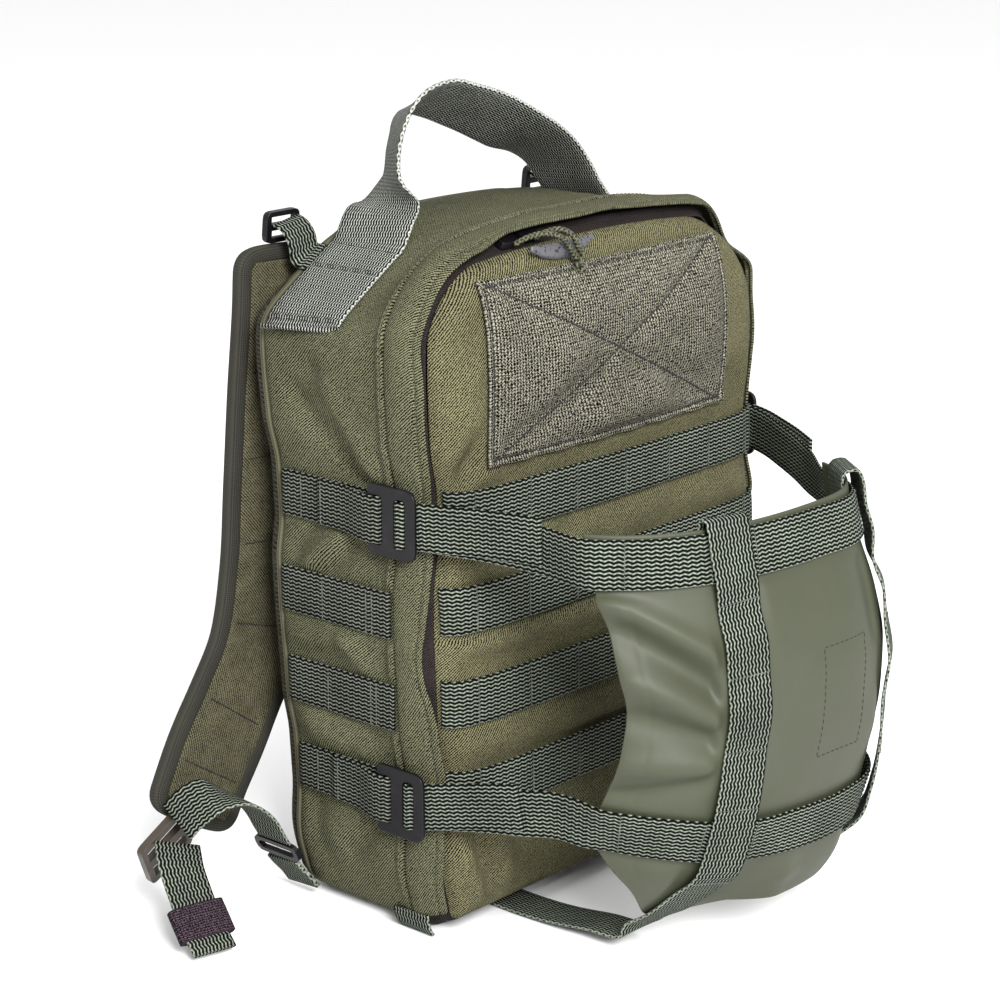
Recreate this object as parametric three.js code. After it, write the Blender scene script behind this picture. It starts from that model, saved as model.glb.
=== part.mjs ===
// Beavertail pack: a panel-loading day pack with an open sling panel held by straps on its front.
// Millimetres, +Z up. The front faces -Y, the wearer's back is towards +Y.
// The origin is on the floor under the middle of the base.
import * as THREE from "three";

function rows(columns, ...values) {
  const names = columns.split(" ");
  return values.map((row) => Object.fromEntries(names.map((name, i) => [name, row[i]])));
}

// Driving dimensions
const GAP = 0.4;
const CLOTH = 2;
const WEB = { width: 25, thick: 1.6 };
const GRIP_WEB = { width: 50, thick: 2 };
const NARROW_WEB = { width: 20, thick: 1.6 };
const BODY = { half: 140, height: 370, topRadius: 44, frontLeftRadius: 48, rightRadius: 66, baseRadius: 14 };
const DEPTH = { backSeam: 46, gussetSeam: -44, frontRim: -60, frontFace: -73 };
const LEAN = { slope: 0.068, pivot: 190, frontShare: 0.35 };
const MIDDLE = BODY.height / 2;
const CROWN = { drop: 10, from: 290, to: 360 };
const BACK_FALL = { depth: 5, from: 10, to: 58 };
// The handle's ends press the top corners flat: a sloping plane, full from one depth on.
const CORNER_PLANE = { across: 0.527, up: 0.85, reach: 346.5, soft: 6, from: -54, to: -14 };
const BACK_PAD = { inset: 3, thick: 12, softEdge: 9 };
const ZIP = { thick: 1.2, backInset: 0.5, frontInset: 9.2 };
const FRONT_INSET = 9;
const FLAP = { thick: 1.4, seam: -40, clearance: 0.7 };
const LOOP_PANEL = { centre: -8, half: 96, low: 255, high: 350, thick: 1.8, seat: 1.8 };
const SIDE_LEVELS = { upper: 228, second: 177, third: 127, lower: 77 };
const FRONT_WEBS = rows("level seat", [232, 2.5], [182, 1.4], [132, 1.3], [82, 1.8]);
const FRONT_WEB_HALF = 127;
const FRONT_HALF_STEPS = [0.36, 0.68, 0.83, 0.89, 0.935, 0.97, 1];
const SIDE_SEAT = GAP + WEB.thick / 2 + 0.3;
const SIDE_WEB_BACK = DEPTH.backSeam - 6;
const HOOK = {
  y: -44, wide: 31, high: 41, thick: 2.2, bar: 4, slotWide: 8, slotHigh: 28, mouth: 5, corner: 6, offset: 5.9,
};
const TAIL = { centre: -100, power: 2.6, thick: 1.2, top: 240, webX: { left: -69, right: 50 } };
const TAIL_LEVELS = {
  upper: rows("x z", [-124, 226], [0, 225], [64, 222]),
  lower: rows("x z", [-114, 86], [-66, 76], [0, 71], [74, 71]),
};
const PAD = { width: 62, thick: 10, binding: 6, bevel: 2.5 };
const CORD_RADIUS = 1.5;

// Half width of the body by height: the two hook straps pinch it in.
const SIDE_FORM = rows("z half",
  [0, 134], [14, 136], [40, 139], [64.5, 136.5], [89.5, 136.5], [114.5, 139.5], [139.5, 140],
  [164.5, 140.5], [189.5, 140], [215.5, 135.5], [240.5, 135.5], [268, 140], [298, 141], [326, 140],
  [370, 138]);

// How far forward the front panel stands, by the distance in from its outline.
const FRONT_FORM = rows("inset y",
  [FRONT_INSET, DEPTH.frontRim], [11.5, -64.5], [17, -68.5], [27, -71], [44, DEPTH.frontFace],
  [78, -74], [140, -75]);

// Storm flap along the outline, from the lower left, over the top, to the lower right.
const FLAP_FORM = rows("along reach lift",
  [0, -65, 0], [0.05, -66, 0], [0.1, -66, 0], [0.12, -63, 0], [0.136, -59, 0.5], [0.153, -57, 0.5],
  [0.17, -59, 0.5], [0.19, -62, 0], [0.25, -62, 0], [0.28, -63, 0], [0.33, -62, 0], [0.4, -62, 1],
  [0.43, -62, 5.4], [0.48, -62, 5.4], [0.53, -62, 4], [0.57, -62, 3], [0.61, -62, 0.5], [0.67, -62, 0],
  [0.72, -63, 0], [0.81, -62, 0], [0.83, -59, 0.5], [0.847, -57, 0.5], [0.864, -59, 0.5], [0.88, -63, 0],
  [0.9, -66, 0], [0.95, -66, 0], [1, -65, 0]);

const FLAP_BEND = rows("share inset", [0, 0], [0.4, 0.6], [0.75, 3], [1, 6.2]);

// Level sections of the beavertail: reach to each side and forward, where the panel's edges are,
// and how far the vertical webs pull its lower part back.
const TAIL_FORM = rows("z left right front leftEdge rightEdge pull",
  [15, 107, 88, 86, 60, 14, 37], [20, 108, 88, 91, 67, 22, 32], [30, 111, 88, 99, 82, 36, 24],
  [48, 114, 88, 107, 97, 56, 11], [62, 117, 88, 110, 107, 67, 3], [75, 119, 88, 112, 112, 74, 0],
  [98, 125, 89, 117, 116, 77, 0], [130, 132, 92, 122, 117, 80, 0], [155, 135, 91, 123, 118, 80, 0],
  [182, 136, 85, 119, 121, 75, 0], [212, 135, 75, 110, 123, 66, 0], [225, 135, 72, 106, 124, 64, 0],
  [240, 134, 71, 103, 124, 63, 0]);
const PULL = { from: 18, to: 56 };
const HEM = { rise: 14, from: 38, to: 58, below: 48, depth: 33 };

// Soft folds of the beavertail, running from the middle of each web to the panel's corners.
const TAIL_FOLDS = rows("fromX fromZ toX toZ height spread",
  [-82, 172, -116, 196, 4, 10], [-82, 150, -110, 150, -3, 10], [-82, 135, -106, 112, 4, 9],
  [0, 180, 20, 120, 2, 22]);

// Carry handle: centre line and the direction of its width.
const HANDLE_FORM = rows("x y z wx wy wz",
  [-76, 28, 369, 0, 1, 0], [-68.5, 28, 375, 0.2, 0.97, -0.05], [-66, 29, 389, 0.6, 0.78, -0.1],
  [-62.5, 30, 405, 0.6, 0.78, -0.25], [-52, 31, 420, 0.45, 0.8, -0.4], [-36, 31.5, 426.5, 0.2, 0.88, -0.42],
  [-18, 31.5, 423, 0.1, 0.9, -0.42], [6, 31, 414.5, 0, 0.9, -0.42], [38, 30.5, 399.5, 0, 0.92, -0.38],
  [58, 30, 389.5, 0, 0.97, -0.2], [69, 29, 380, 0, 1, -0.06], [77, 28, 369, 0, 1, 0]);
const HANDLE_Y = 15;
const HANDLE_LOW = 319;

// Left shoulder strap: centre line of the pad, hanging from the top of the back.
const PAD_FORM = rows("x y z",
  [-104, 75.2, 344], [-105, 75.8, 320], [-108, 78, 275], [-112, 79, 222], [-117, 78.5, 175],
  [-128.5, 77, 132], [-148.5, 75.5, 101], [-170, 73, 73], [-182.2, 72, 52.5]);

// Webbing from the lower ladder-lock over an arch to the anchor ring.
const STRAP_WEB_FORM = rows("x y z wx wy wz",
  [-204.6, 60.5, 60.5, 0.35, 0.5, -0.8], [-200, 52.5, 67.8, 0.4, 0.75, -0.5],
  [-193, 44, 71, 0.3, 0.95, -0.1], [-178, 41, 67, 0.1, 0.97, 0.2], [-163, 40, 53, 0, 1, 0],
  [-155, 40, 40, 0, 1, 0], [-151.7, 40, 34.6, 0, 1, 0]);

// Free tail of the same webbing, folded up in its keeper and resting on the floor.
const STRAP_TAIL_FORM = rows("x y z wx wy wz",
  [-207.4, 56.2, 44.6, 0.85, -0.3, -0.3], [-216, 44, 38, 0.9, -0.35, -0.1], [-220, 33, 27, 0.94, -0.34, 0],
  [-223, 21, 14, 0.94, -0.34, 0], [-226, 8, 4.2, 0.94, -0.34, 0]);

// Anchor webbing from the ring to the lower back corner of the body.
const ANCHOR_FORM = rows("x y z wx wy wz",
  [-146.2, 40, 22.1, 0, 1, 0], [-142.6, 39, 17, 0, 1, 0], [-138.4, 37, 11.5, 0, 1, 0],
  [-134.1, 36, 5, 0, 1, 0]);
const DOUBLED_WEB = { width: 25, thick: 3.4 };
const FOLDED_TAIL = { width: 25, thick: 4 };
const KEEPER = {
  outside: { width: 32, thick: 9 }, inside: { width: 27, thick: 5.6 },
  from: [-221.2, 28.4, 21.8], to: [-224.4, 15.2, 9.4], side: [0.94, -0.34, 0],
};
const STRAP_LOCK = { wide: 34, high: 30, thick: 4.5, spot: [-205.8, 68.2, 40.1] };
const ANCHOR_RING = { wide: 27, high: 5, wire: 3, spot: [-149.4, 40, 29.2] };
const SLIDER = { wide: 13, high: 9, thick: 4, corner: 3 };
const GRIP = { x: -38, y: -65.6, z: 360.5, half: 24.5, sag: 4, high: 8, thick: 4.5, bevel: 1.4 };

// Load lifter: from its ladder-lock above the pad, over the back's top edge, onto the top.
const LIFTER = {
  lockSpot: [-104, 74.6, 361.6], lockWide: 24, lockHigh: 17, lockThick: 4, place: [-107.4, 368.5],
};
const LIFTER_RISE = rows("x y z", [-103.5, 71.4, 364.5], [-103, 66.5, 363], [-102.5, 61, 357]);
const LIFTER_LIE = rows("y off", [50, -1.4], [43, -1.2]);

const COLOURS = {
  cloth: 0x6f6c50, webbing: 0x55594f, coated: 0x7b7f6c, loop: 0x66645a, binding: 0x34342f,
  metal: 0x2b282b, plastic: 0x4d4941, zip: 0x57534b, keeper: 0x4e414a, grip: 0x8b8a90, cord: 0x4a4a35,
};

// Small number helpers
function clamp(value, low, high) {
  return Math.min(high, Math.max(low, value));
}

function lookup(table, key, value, column) {
  const last = table.length - 1;
  let i = 0;
  while (i < last - 1 && value > table[i + 1][key]) i += 1;
  const share = clamp((value - table[i][key]) / (table[i + 1][key] - table[i][key]), 0, 1);
  return table[i][column] + share * (table[i + 1][column] - table[i][column]);
}

function point(x, y, z) {
  return new THREE.Vector3(x, y, z);
}

// Closed solids from points and triangles, turned outward
function solid(points, triangles) {
  const faces = triangles.filter(([a, b, c]) => points[a].distanceTo(points[b]) > 1e-4
    && points[b].distanceTo(points[c]) > 1e-4 && points[c].distanceTo(points[a]) > 1e-4);
  const volume = faces.reduce((sum, [a, b, c]) =>
    sum + points[a].dot(points[b].clone().cross(points[c])), 0);
  const flat = faces.flatMap(([a, b, c]) => (volume > 0 ? [a, b, c] : [a, c, b]));
  const geometry = new THREE.BufferGeometry().setFromPoints(points);
  geometry.setIndex(flat);
  geometry.computeVertexNormals();
  return geometry;
}

// A wall between an outer and an inner grid of points; a loop closes on itself across its columns.
function wall(outer, inner, loop) {
  const rowCount = outer.length;
  const columnCount = outer[0].length;
  const id = (side, i, j) => (side * rowCount + i) * columnCount + (j % columnCount);
  const triangles = [];
  const quad = (a, b, c, d) => triangles.push([a, b, c], [a, c, d]);
  const lastRow = rowCount - 1;
  const lastColumn = columnCount - 1;
  const spans = loop ? columnCount : lastColumn;
  for (let j = 0; j < spans; j += 1) {
    for (let i = 0; i < lastRow; i += 1) {
      quad(id(0, i, j), id(0, i + 1, j), id(0, i + 1, j + 1), id(0, i, j + 1));
      quad(id(1, i, j), id(1, i, j + 1), id(1, i + 1, j + 1), id(1, i + 1, j));
    }
    quad(id(0, 0, j), id(0, 0, j + 1), id(1, 0, j + 1), id(1, 0, j));
    quad(id(0, lastRow, j), id(1, lastRow, j), id(1, lastRow, j + 1), id(0, lastRow, j + 1));
  }
  for (let i = 0; i < lastRow && !loop; i += 1) {
    quad(id(0, i, 0), id(1, i, 0), id(1, i + 1, 0), id(0, i + 1, 0));
    quad(id(0, i, lastColumn), id(0, i + 1, lastColumn), id(1, i + 1, lastColumn), id(1, i, lastColumn));
  }
  return solid([...outer, ...inner].flat(), triangles);
}

// A convex section swept along stations of centre, width direction and face direction.
function sweep(stations, section, loop) {
  const size = section.length;
  const points = stations.flatMap(({ centre, across, face }) => section.map(([u, v]) =>
    centre.clone().addScaledVector(across, u).addScaledVector(face, v)));
  const triangles = [];
  const count = stations.length;
  const spans = loop ? count : count - 1;
  for (let i = 0; i < spans; i += 1) {
    for (let k = 0; k < size; k += 1) {
      const [a, b] = [i * size + k, i * size + ((k + 1) % size)];
      const [c, d] = [((i + 1) % count) * size + ((k + 1) % size), ((i + 1) % count) * size + k];
      triangles.push([a, b, c], [a, c, d]);
    }
  }
  for (let k = 1; k < size - 1 && !loop; k += 1) {
    const end = (count - 1) * size;
    triangles.push([0, k + 1, k], [end, end + k, end + k + 1]);
  }
  return solid(points, triangles);
}

function flatSection({ width, thick }) {
  const [u, v] = [width / 2, thick / 2];
  return [[-u, -v], [u, -v], [u, v], [-u, v]];
}

function rolledSection(width, thick) {
  const [u, edge, crown] = [width / 2, thick * 0.13, thick * 0.36];
  return [[-u, -edge], [0, -crown], [u, -edge], [u, edge], [0, crown], [-u, edge]];
}

function padSection(width, thick, bevel) {
  const [u, v] = [width / 2, thick / 2];
  return [[-u + bevel, -v], [u - bevel, -v], [u, -v + bevel], [u, v - bevel],
    [u - bevel, v], [-u + bevel, v], [-u, v - bevel], [-u, -v + bevel]];
}

// Stations on a smooth line through a table's rows
function stationsOf(table, perSpan) {
  const centres = new THREE.CatmullRomCurve3(table.map((row) => point(row.x, row.y, row.z)));
  const widths = new THREE.CatmullRomCurve3(table.map((row) => point(row.wx, row.wy, row.wz)));
  const count = (table.length - 1) * perSpan;
  return Array.from({ length: count + 1 }, (_, i) => {
    const along = centres.getTangent(i / count);
    const across = widths.getPoint(i / count);
    across.addScaledVector(along, -across.dot(along)).normalize();
    return { centre: centres.getPoint(i / count), across, face: along.clone().cross(across) };
  });
}

function ribbon(table, web, perSpan) {
  return sweep(stationsOf(table, perSpan), flatSection(web), false);
}

// The body's form
function halfAt(z) {
  return lookup(SIDE_FORM, "z", z, "half");
}

function leaned(y, z) {
  const share = clamp((y - DEPTH.frontFace) / (DEPTH.backSeam - DEPTH.frontFace), 0, 1);
  const weight = LEAN.frontShare + (1 - LEAN.frontShare) * share;
  return y + LEAN.slope * (z - LEAN.pivot) * weight;
}

// Outline seen from the front, from the middle of the base round by the left side
function outline() {
  const { half, height, topRadius, baseRadius } = BODY;
  const arc = (cx, cz, radius, from, to, steps) => Array.from({ length: steps + 1 }, (_, i) => {
    const angle = THREE.MathUtils.degToRad(from + ((to - from) * i) / steps);
    const cut = radius === topRadius ? Math.sin(2 * angle) ** 2 : 0;
    return [cx + radius * Math.cos(angle), cz + radius * Math.sin(angle), cut];
  });
  const sideLevels = SIDE_FORM.map((row) => row.z).filter((z) => z > baseRadius && z < height - topRadius);
  const top = [-64, -48, -24, 0, 24, 48, 64].map((x) => [x, height]);
  const base = [-96, -48].map((x) => [x, 0]);
  const leftHalf = [...base.reverse(), ...arc(baseRadius - half, baseRadius, baseRadius, 270, 180, 3),
    ...sideLevels.map((z) => [-half, z]),
    ...arc(topRadius - half, height - topRadius, topRadius, 180, 90, 6)];
  const rightHalf = leftHalf.map(([x, z, cut]) => [-x, z, cut]).reverse();
  return [[0, 0], ...leftHalf, ...top, ...rightHalf];
}
const OUTLINE = outline();

// A point of the body: a place on the outline, brought in by an inset, at a depth.
// The left top corner grows rounder towards the front, the right one is rounder all through.
function bodyPoint([x, z, cut = 0], y, outlineInset) {
  const radius = x < 0 ? BODY.frontLeftRadius : BODY.rightRadius;
  const rounder = cut * (radius - BODY.topRadius) * (Math.SQRT2 - 1);
  const inset = outlineInset + rounder * (x < 0 ? clamp(outlineInset / FRONT_INSET, 0, 1) : 1);
  const height = MIDDLE + (z - MIDDLE) * (1 - inset / MIDDLE);
  const across = x * (1 - inset / BODY.half) * (halfAt(clamp(height, 0, BODY.height)) / BODY.half);
  const top = height - crownDrop(across, height) - backFall(y, height);
  const press = cornerPress(across, top, y, outlineInset);
  return point(across - Math.sign(x) * CORNER_PLANE.across * press, leaned(y, height),
    top - CORNER_PLANE.up * press);
}

// The top falls away towards its sides, and a little towards the back.
function crownDrop(x, z) {
  return CROWN.drop * (x / BODY.half) ** 2 * THREE.MathUtils.smoothstep(z, CROWN.from, CROWN.to);
}

function backFall(y, z) {
  const share = THREE.MathUtils.smoothstep(y, BACK_FALL.from, BACK_FALL.to);
  return BACK_FALL.depth * share * THREE.MathUtils.smoothstep(z, CROWN.from, CROWN.to);
}

// How far a top corner is pressed in, square to its sloping plane
function cornerPress(x, z, y, outlineInset) {
  const { across, up, reach, soft, from, to } = CORNER_PLANE;
  const beyond = across * Math.abs(x) + up * z - (reach - outlineInset);
  if (beyond < -2 * soft) return 0;
  const eased = beyond > 2 * soft ? beyond : (beyond + 2 * soft) ** 2 / (8 * soft);
  return eased * THREE.MathUtils.smoothstep(y, from, to);
}

function bodyGrid(table) {
  return table.map(({ y, inset }) => OUTLINE.map((place) => bodyPoint(place, y, inset)));
}

// Distance in from the outline, for a place on the front
function insetAt(x, drooped) {
  const z = drooped + crownDrop(x, drooped + CROWN.drop / 2);
  const topRadius = x < 0 ? BODY.frontLeftRadius : BODY.rightRadius;
  const radius = z > MIDDLE ? topRadius : BODY.baseRadius;
  const across = Math.abs(x) * (BODY.half / halfAt(z)) - BODY.half + radius;
  const up = Math.abs(z - MIDDLE) - MIDDLE + radius;
  return radius - Math.hypot(Math.max(across, 0), Math.max(up, 0)) - Math.min(Math.max(across, up), 0);
}

function frontAt(x, z) {
  return leaned(lookup(FRONT_FORM, "inset", insetAt(x, z), "y"), z);
}

// Body pieces
function gusset() {
  const outer = rows("y inset", [DEPTH.backSeam, 3], [DEPTH.backSeam - 5, 0.4], [26, 0], [10, 0],
    [CORNER_PLANE.to, 0], [-27, 0], [FLAP.seam, 0], [DEPTH.gussetSeam, 0]);
  const inner = outer.map(({ y, inset }) => ({ y, inset: inset + CLOTH }));
  return wall(bodyGrid(outer), bodyGrid(inner), true);
}

function backPad() {
  const { inset, thick, softEdge } = BACK_PAD;
  const start = DEPTH.backSeam + GAP;
  const grid = bodyGrid(rows("y inset", [start, inset + 1], [start + thick * 0.4, inset],
    [start + thick * 0.85, inset + softEdge / 3], [start + thick, inset + softEdge]));
  const middle = (y) => OUTLINE.map(() => point(0, leaned(y, MIDDLE), MIDDLE));
  const faceRing = bodyGrid(rows("y inset", [start + thick, BODY.half * 0.5]))[0];
  const insideRing = bodyGrid(rows("y inset", [start, BODY.half * 0.5]))[0];
  const skin = [middle(start), insideRing, ...grid, faceRing, middle(start + thick)];
  return loft(skin);
}

// A closed skin over rings of points whose first and last rings are single points
function loft(rings) {
  const size = rings[0].length;
  const triangles = [];
  rings.slice(1).forEach((_, i) => {
    for (let j = 0; j < size; j += 1) {
      const next = (j + 1) % size;
      const [a, b, c, d] = [i * size + j, (i + 1) * size + j, (i + 1) * size + next, i * size + next];
      if (i > 0) triangles.push([a, c, d]);
      if (i < rings.length - 2) triangles.push([a, b, c]);
    }
  });
  const points = rings.flat();
  const last = (rings.length - 1) * size;
  const joined = triangles.map((face) => face.map((k) => (k < size ? 0 : k > last ? last : k)));
  return solid(points, joined);
}

function frontPanel() {
  const insets = FRONT_FORM.map((row) => row.inset).slice(0, -1);
  const ring = (inset, inward) => OUTLINE.map((place) => {
    const flat = bodyPoint(place, DEPTH.frontFace, inset + inward);
    const depth = lookup(FRONT_FORM, "inset", insetAt(flat.x, flat.z) - inward, "y") + inward;
    return point(flat.x, leaned(depth, flat.z), flat.z);
  });
  const centre = (inward) => OUTLINE.map(() =>
    point(0, leaned(FRONT_FORM[FRONT_FORM.length - 1].y + inward, MIDDLE), MIDDLE));
  const outer = [...insets.map((inset) => ring(inset, 0)), centre(0)];
  const inner = [...insets.map((inset) => ring(inset, CLOTH)), centre(CLOTH)];
  inner[0].forEach((spot, j) => spot.setY(outer[0][j].y));
  return wall(outer, inner, true);
}

function zipTrack() {
  const outer = rows("y inset", [DEPTH.gussetSeam - GAP, ZIP.backInset],
    [DEPTH.frontRim + GAP, ZIP.frontInset]);
  const inner = outer.map(({ y, inset }) => ({ y, inset: inset + ZIP.thick }));
  return wall(bodyGrid(outer), bodyGrid(inner), true);
}

function stormFlap() {
  const path = OUTLINE.filter(([, z]) => z > BODY.baseRadius * 0.9);
  const lengths = [0];
  path.slice(1).forEach(([x, z], i) => lengths.push(lengths[i] + Math.hypot(x - path[i][0], z - path[i][1])));
  const total = lengths[lengths.length - 1];
  const grid = (raise) => FLAP_BEND.map(({ share, inset }) => path.map((place, j) => {
    const along = lengths[j] / total;
    const reach = lookup(FLAP_FORM, "along", along, "reach");
    const lift = lookup(FLAP_FORM, "along", along, "lift") * share * share;
    return bodyPoint(place, FLAP.seam + (reach - FLAP.seam) * share, inset - FLAP.clearance - lift - raise);
  }));
  return wall(grid(FLAP.thick), grid(0), false);
}

// Pieces laid on the front
function frontSheet(xs, zs, thick, seat) {
  const grid = (offset) => zs.map((z) => xs.map((x) => point(x, frontAt(x, z) - offset, z)));
  return wall(grid(seat + thick), grid(seat), false);
}

function spread(from, to, steps) {
  return Array.from({ length: steps + 1 }, (_, i) => from + ((to - from) * i) / steps);
}

function loopPanel() {
  const { centre, half, low, high, thick, seat } = LOOP_PANEL;
  return frontSheet(spread(centre - half, centre + half, 10), spread(low, high, 7), thick, seat);
}

function frontWeb({ level, seat }) {
  const half = WEB.width / 2;
  const right = FRONT_HALF_STEPS.map((share) => share * FRONT_WEB_HALF);
  const xs = [...right.map((x) => -x).reverse(), 0, ...right];
  return frontSheet(xs, [level - half, level, level + half], WEB.thick, seat);
}

// Pieces laid on the left side: rows of depth and of height off the cloth
function sideRibbon(level, table) {
  const side = -halfAt(level);
  return table.map(({ y, off }) => ({ x: side - off, y: leaned(y, level), z: level, wx: 0, wy: 0, wz: 1 }));
}

function sideWeb(level) {
  const table = rows("y off", [SIDE_WEB_BACK, SIDE_SEAT], [8, SIDE_SEAT], [FLAP.seam + 1, SIDE_SEAT]);
  return ribbon(sideRibbon(level, table), WEB, 2);
}

function hookStrap(level) {
  const seat = SIDE_SEAT;
  const hookBack = HOOK.y + HOOK.wide / 2;
  const over = FLAP.clearance + FLAP.thick + GAP + WEB.thick / 2;
  const outside = HOOK.offset + HOOK.thick / 2 + GAP + WEB.thick / 2;
  const turn = hookBack - HOOK.bar - 3;
  const doubled = seat + WEB.thick + GAP;
  return ribbon(sideRibbon(level, rows("y off", [SIDE_WEB_BACK, seat], [20, seat], [-18, seat],
    [-25, over - 0.4], [turn + 3, over + 0.2], [turn - 0.4, over + 0.9], [turn - 1.8, (over + outside) / 2],
    [turn - 0.4, outside - 0.9], [turn + 3, outside - 0.1], [hookBack + 3, outside - 0.2],
    [-10, doubled + 1.2], [0, doubled], [12, doubled])), WEB, 2);
}

function roundedPlate(wide, high, corner) {
  const [u, v] = [wide / 2, high / 2];
  const shape = new THREE.Shape();
  shape.moveTo(-u + corner, -v);
  [[u, -v, u - corner, -v, u, -v + corner], [u, v, u, v - corner, u - corner, v],
    [-u, v, -u + corner, v, -u, v - corner], [-u, -v, -u, -v + corner, -u + corner, -v]]
    .forEach(([cx, cy, ax, ay, bx, by]) => shape.lineTo(ax, ay).quadraticCurveTo(cx, cy, bx, by));
  return shape;
}

function slotPath(x, y, wide, high) {
  const path = new THREE.Path();
  const [u, v] = [wide / 2, high / 2];
  path.moveTo(x - u, y - v).lineTo(x - u, y + v).lineTo(x + u, y + v).lineTo(x + u, y - v);
  return path;
}

// Flat hook: a closed slot for the sling strap and a slot open at its lower corner for the side strap
function hook() {
  const { wide, high, thick, bar, slotWide, slotHigh, mouth, corner } = HOOK;
  const [u, v, h] = [wide / 2, high / 2, slotHigh / 2];
  const shape = new THREE.Shape();
  shape.moveTo(-u + bar + 1, -v).lineTo(u - corner, -v).quadraticCurveTo(u, -v, u, -v + corner);
  shape.lineTo(u, v - corner).quadraticCurveTo(u, v, u - corner, v);
  shape.lineTo(-u + corner, v).quadraticCurveTo(-u, v, -u, v - corner);
  shape.lineTo(-u, -h + mouth).lineTo(-u + bar, -h + mouth).lineTo(-u + bar, h);
  shape.lineTo(-u + bar + slotWide, h).lineTo(-u + bar + slotWide, -h).lineTo(-u + bar + 1, -h);
  shape.holes.push(slotPath(u - bar - slotWide / 2, 0, slotWide, slotHigh - 1));
  return plate(shape, thick, 4);
}

function hookPlace(level) {
  const sideways = new THREE.Matrix4().makeBasis(point(0, -1, 0), point(0, 0, 1), point(-1, 0, 0));
  return sideways.setPosition(-halfAt(level) - HOOK.offset, leaned(HOOK.y, level), level);
}

// Beavertail
function tailPoint(x, z, off) {
  const at = (px, pz) => {
    const side = lookup(TAIL_FORM, "z", pz, px < 0 ? "left" : "right");
    const front = lookup(TAIL_FORM, "z", pz, "front");
    const bend = (1 - Math.min(1, Math.abs(px) / side) ** TAIL.power) ** (1 / TAIL.power);
    const pulled = THREE.MathUtils.smoothstep(Math.abs(px), PULL.from, PULL.to);
    const pull = lookup(TAIL_FORM, "z", pz, "pull") * pulled;
    return point(px, TAIL.centre - (front - pull) * bend, pz);
  };
  const step = 4;
  const side = at(x + step, z).sub(at(x - step, z));
  const up = at(x, z + step).sub(at(x, z - step));
  const outward = side.cross(up).normalize();
  return at(x, z).addScaledVector(outward, off);
}

function tailFold(x, z) {
  return TAIL_FOLDS.reduce((sum, fold) => {
    const line = new THREE.Line3(point(fold.fromX, 0, fold.fromZ), point(fold.toX, 0, fold.toZ));
    const near = line.closestPointToPoint(point(x, 0, z), true, point(0, 0, 0));
    const away = near.distanceTo(point(x, 0, z)) / fold.spread;
    return sum + fold.height * Math.exp(-away * away);
  }, 0);
}

// Places across the panel, closer together towards its edges
function panelShare(share) {
  return Math.sin((share * Math.PI) / 2.25) / Math.sin(Math.PI / 2.25);
}

function tailPanel() {
  const webs = Object.values(TAIL.webX);
  const levels = Object.values(TAIL_LEVELS);
  const grid = (off) => TAIL_FORM.map(({ z, leftEdge, rightEdge }) => spread(-1, 1, 18).map((share) => {
    const x = panelShare(share) * (share < 0 ? leftEdge : rightEdge);
    const strapped = levels.some((table) => Math.abs(z - lookup(table, "x", x, "z")) < WEB.width);
    const webbed = webs.some((web) => Math.abs(x - web) < WEB.width / 2 + 4);
    const rise = HEM.rise * (1 - THREE.MathUtils.smoothstep(-x, HEM.from, HEM.to));
    const height = z + rise * clamp((HEM.below - z) / HEM.depth, 0, 1);
    return tailPoint(x, height, off + (strapped || webbed ? 0 : tailFold(x, z)));
  }));
  return wall(grid(TAIL.thick), grid(0), false);
}

function tailRow(x, z, off) {
  const spot = tailPoint(x, z, off);
  const up = tailPoint(x, z + WEB.width / 2, off).sub(tailPoint(x, z - WEB.width / 2, off)).normalize();
  return { x: spot.x, y: spot.y, z: spot.z, wx: up.x, wy: up.y, wz: up.z };
}

// Free runs of the sling straps: forward from the hook's slot, and inward for each strap and side
const STRAP_RUN = rows("forward upperLeft upperRight lowerLeft lowerRight",
  [3.2, 0, 0, 0, 0], [8.5, 0.2, 0.2, 0.4, 0.4], [22, 4, 5, 5, 9.5], [38, 9, 14, 10.5, 19],
  [59, 13, 27, 15, 33], [77, 15, 40, 20, 45]);

// One half of a sling strap as seen on the left, from its folded end through the hook to the panel
function strapHalf(endLevel, hookLevel, run, doubledRows) {
  const over = FLAP.clearance + FLAP.thick + GAP + WEB.thick / 2;
  const outside = HOOK.offset + HOOK.thick / 2 + GAP + WEB.thick / 2;
  const slotY = leaned(HOOK.y, hookLevel) - HOOK.wide / 2 + HOOK.bar + 3;
  const side = -halfAt(hookLevel);
  const row = (x, y) => {
    const share = clamp((slotY - y) / STRAP_RUN[STRAP_RUN.length - 1].forward, 0, 1);
    return { x, y, z: hookLevel + (endLevel - hookLevel) * share, wx: 0, wy: 0, wz: 1 };
  };
  const outerLayer = STRAP_RUN.slice(0, doubledRows).reverse().map((spot) => {
    const closing = clamp((spot.forward - 8) / 20, 0, 1) * (outside - over - WEB.thick - GAP);
    return row(side - outside + spot[run] + closing, slotY - spot.forward);
  });
  const turn = [row(side - outside + 0.9, slotY + 0.3), row(side - (over + outside) / 2, slotY + 1.7),
    row(side - over - 0.9, slotY + 0.3)];
  const innerLayer = STRAP_RUN.map((spot) => row(side - over + spot[run], slotY - spot.forward));
  return [...outerLayer, ...turn, ...innerLayer];
}

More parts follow.
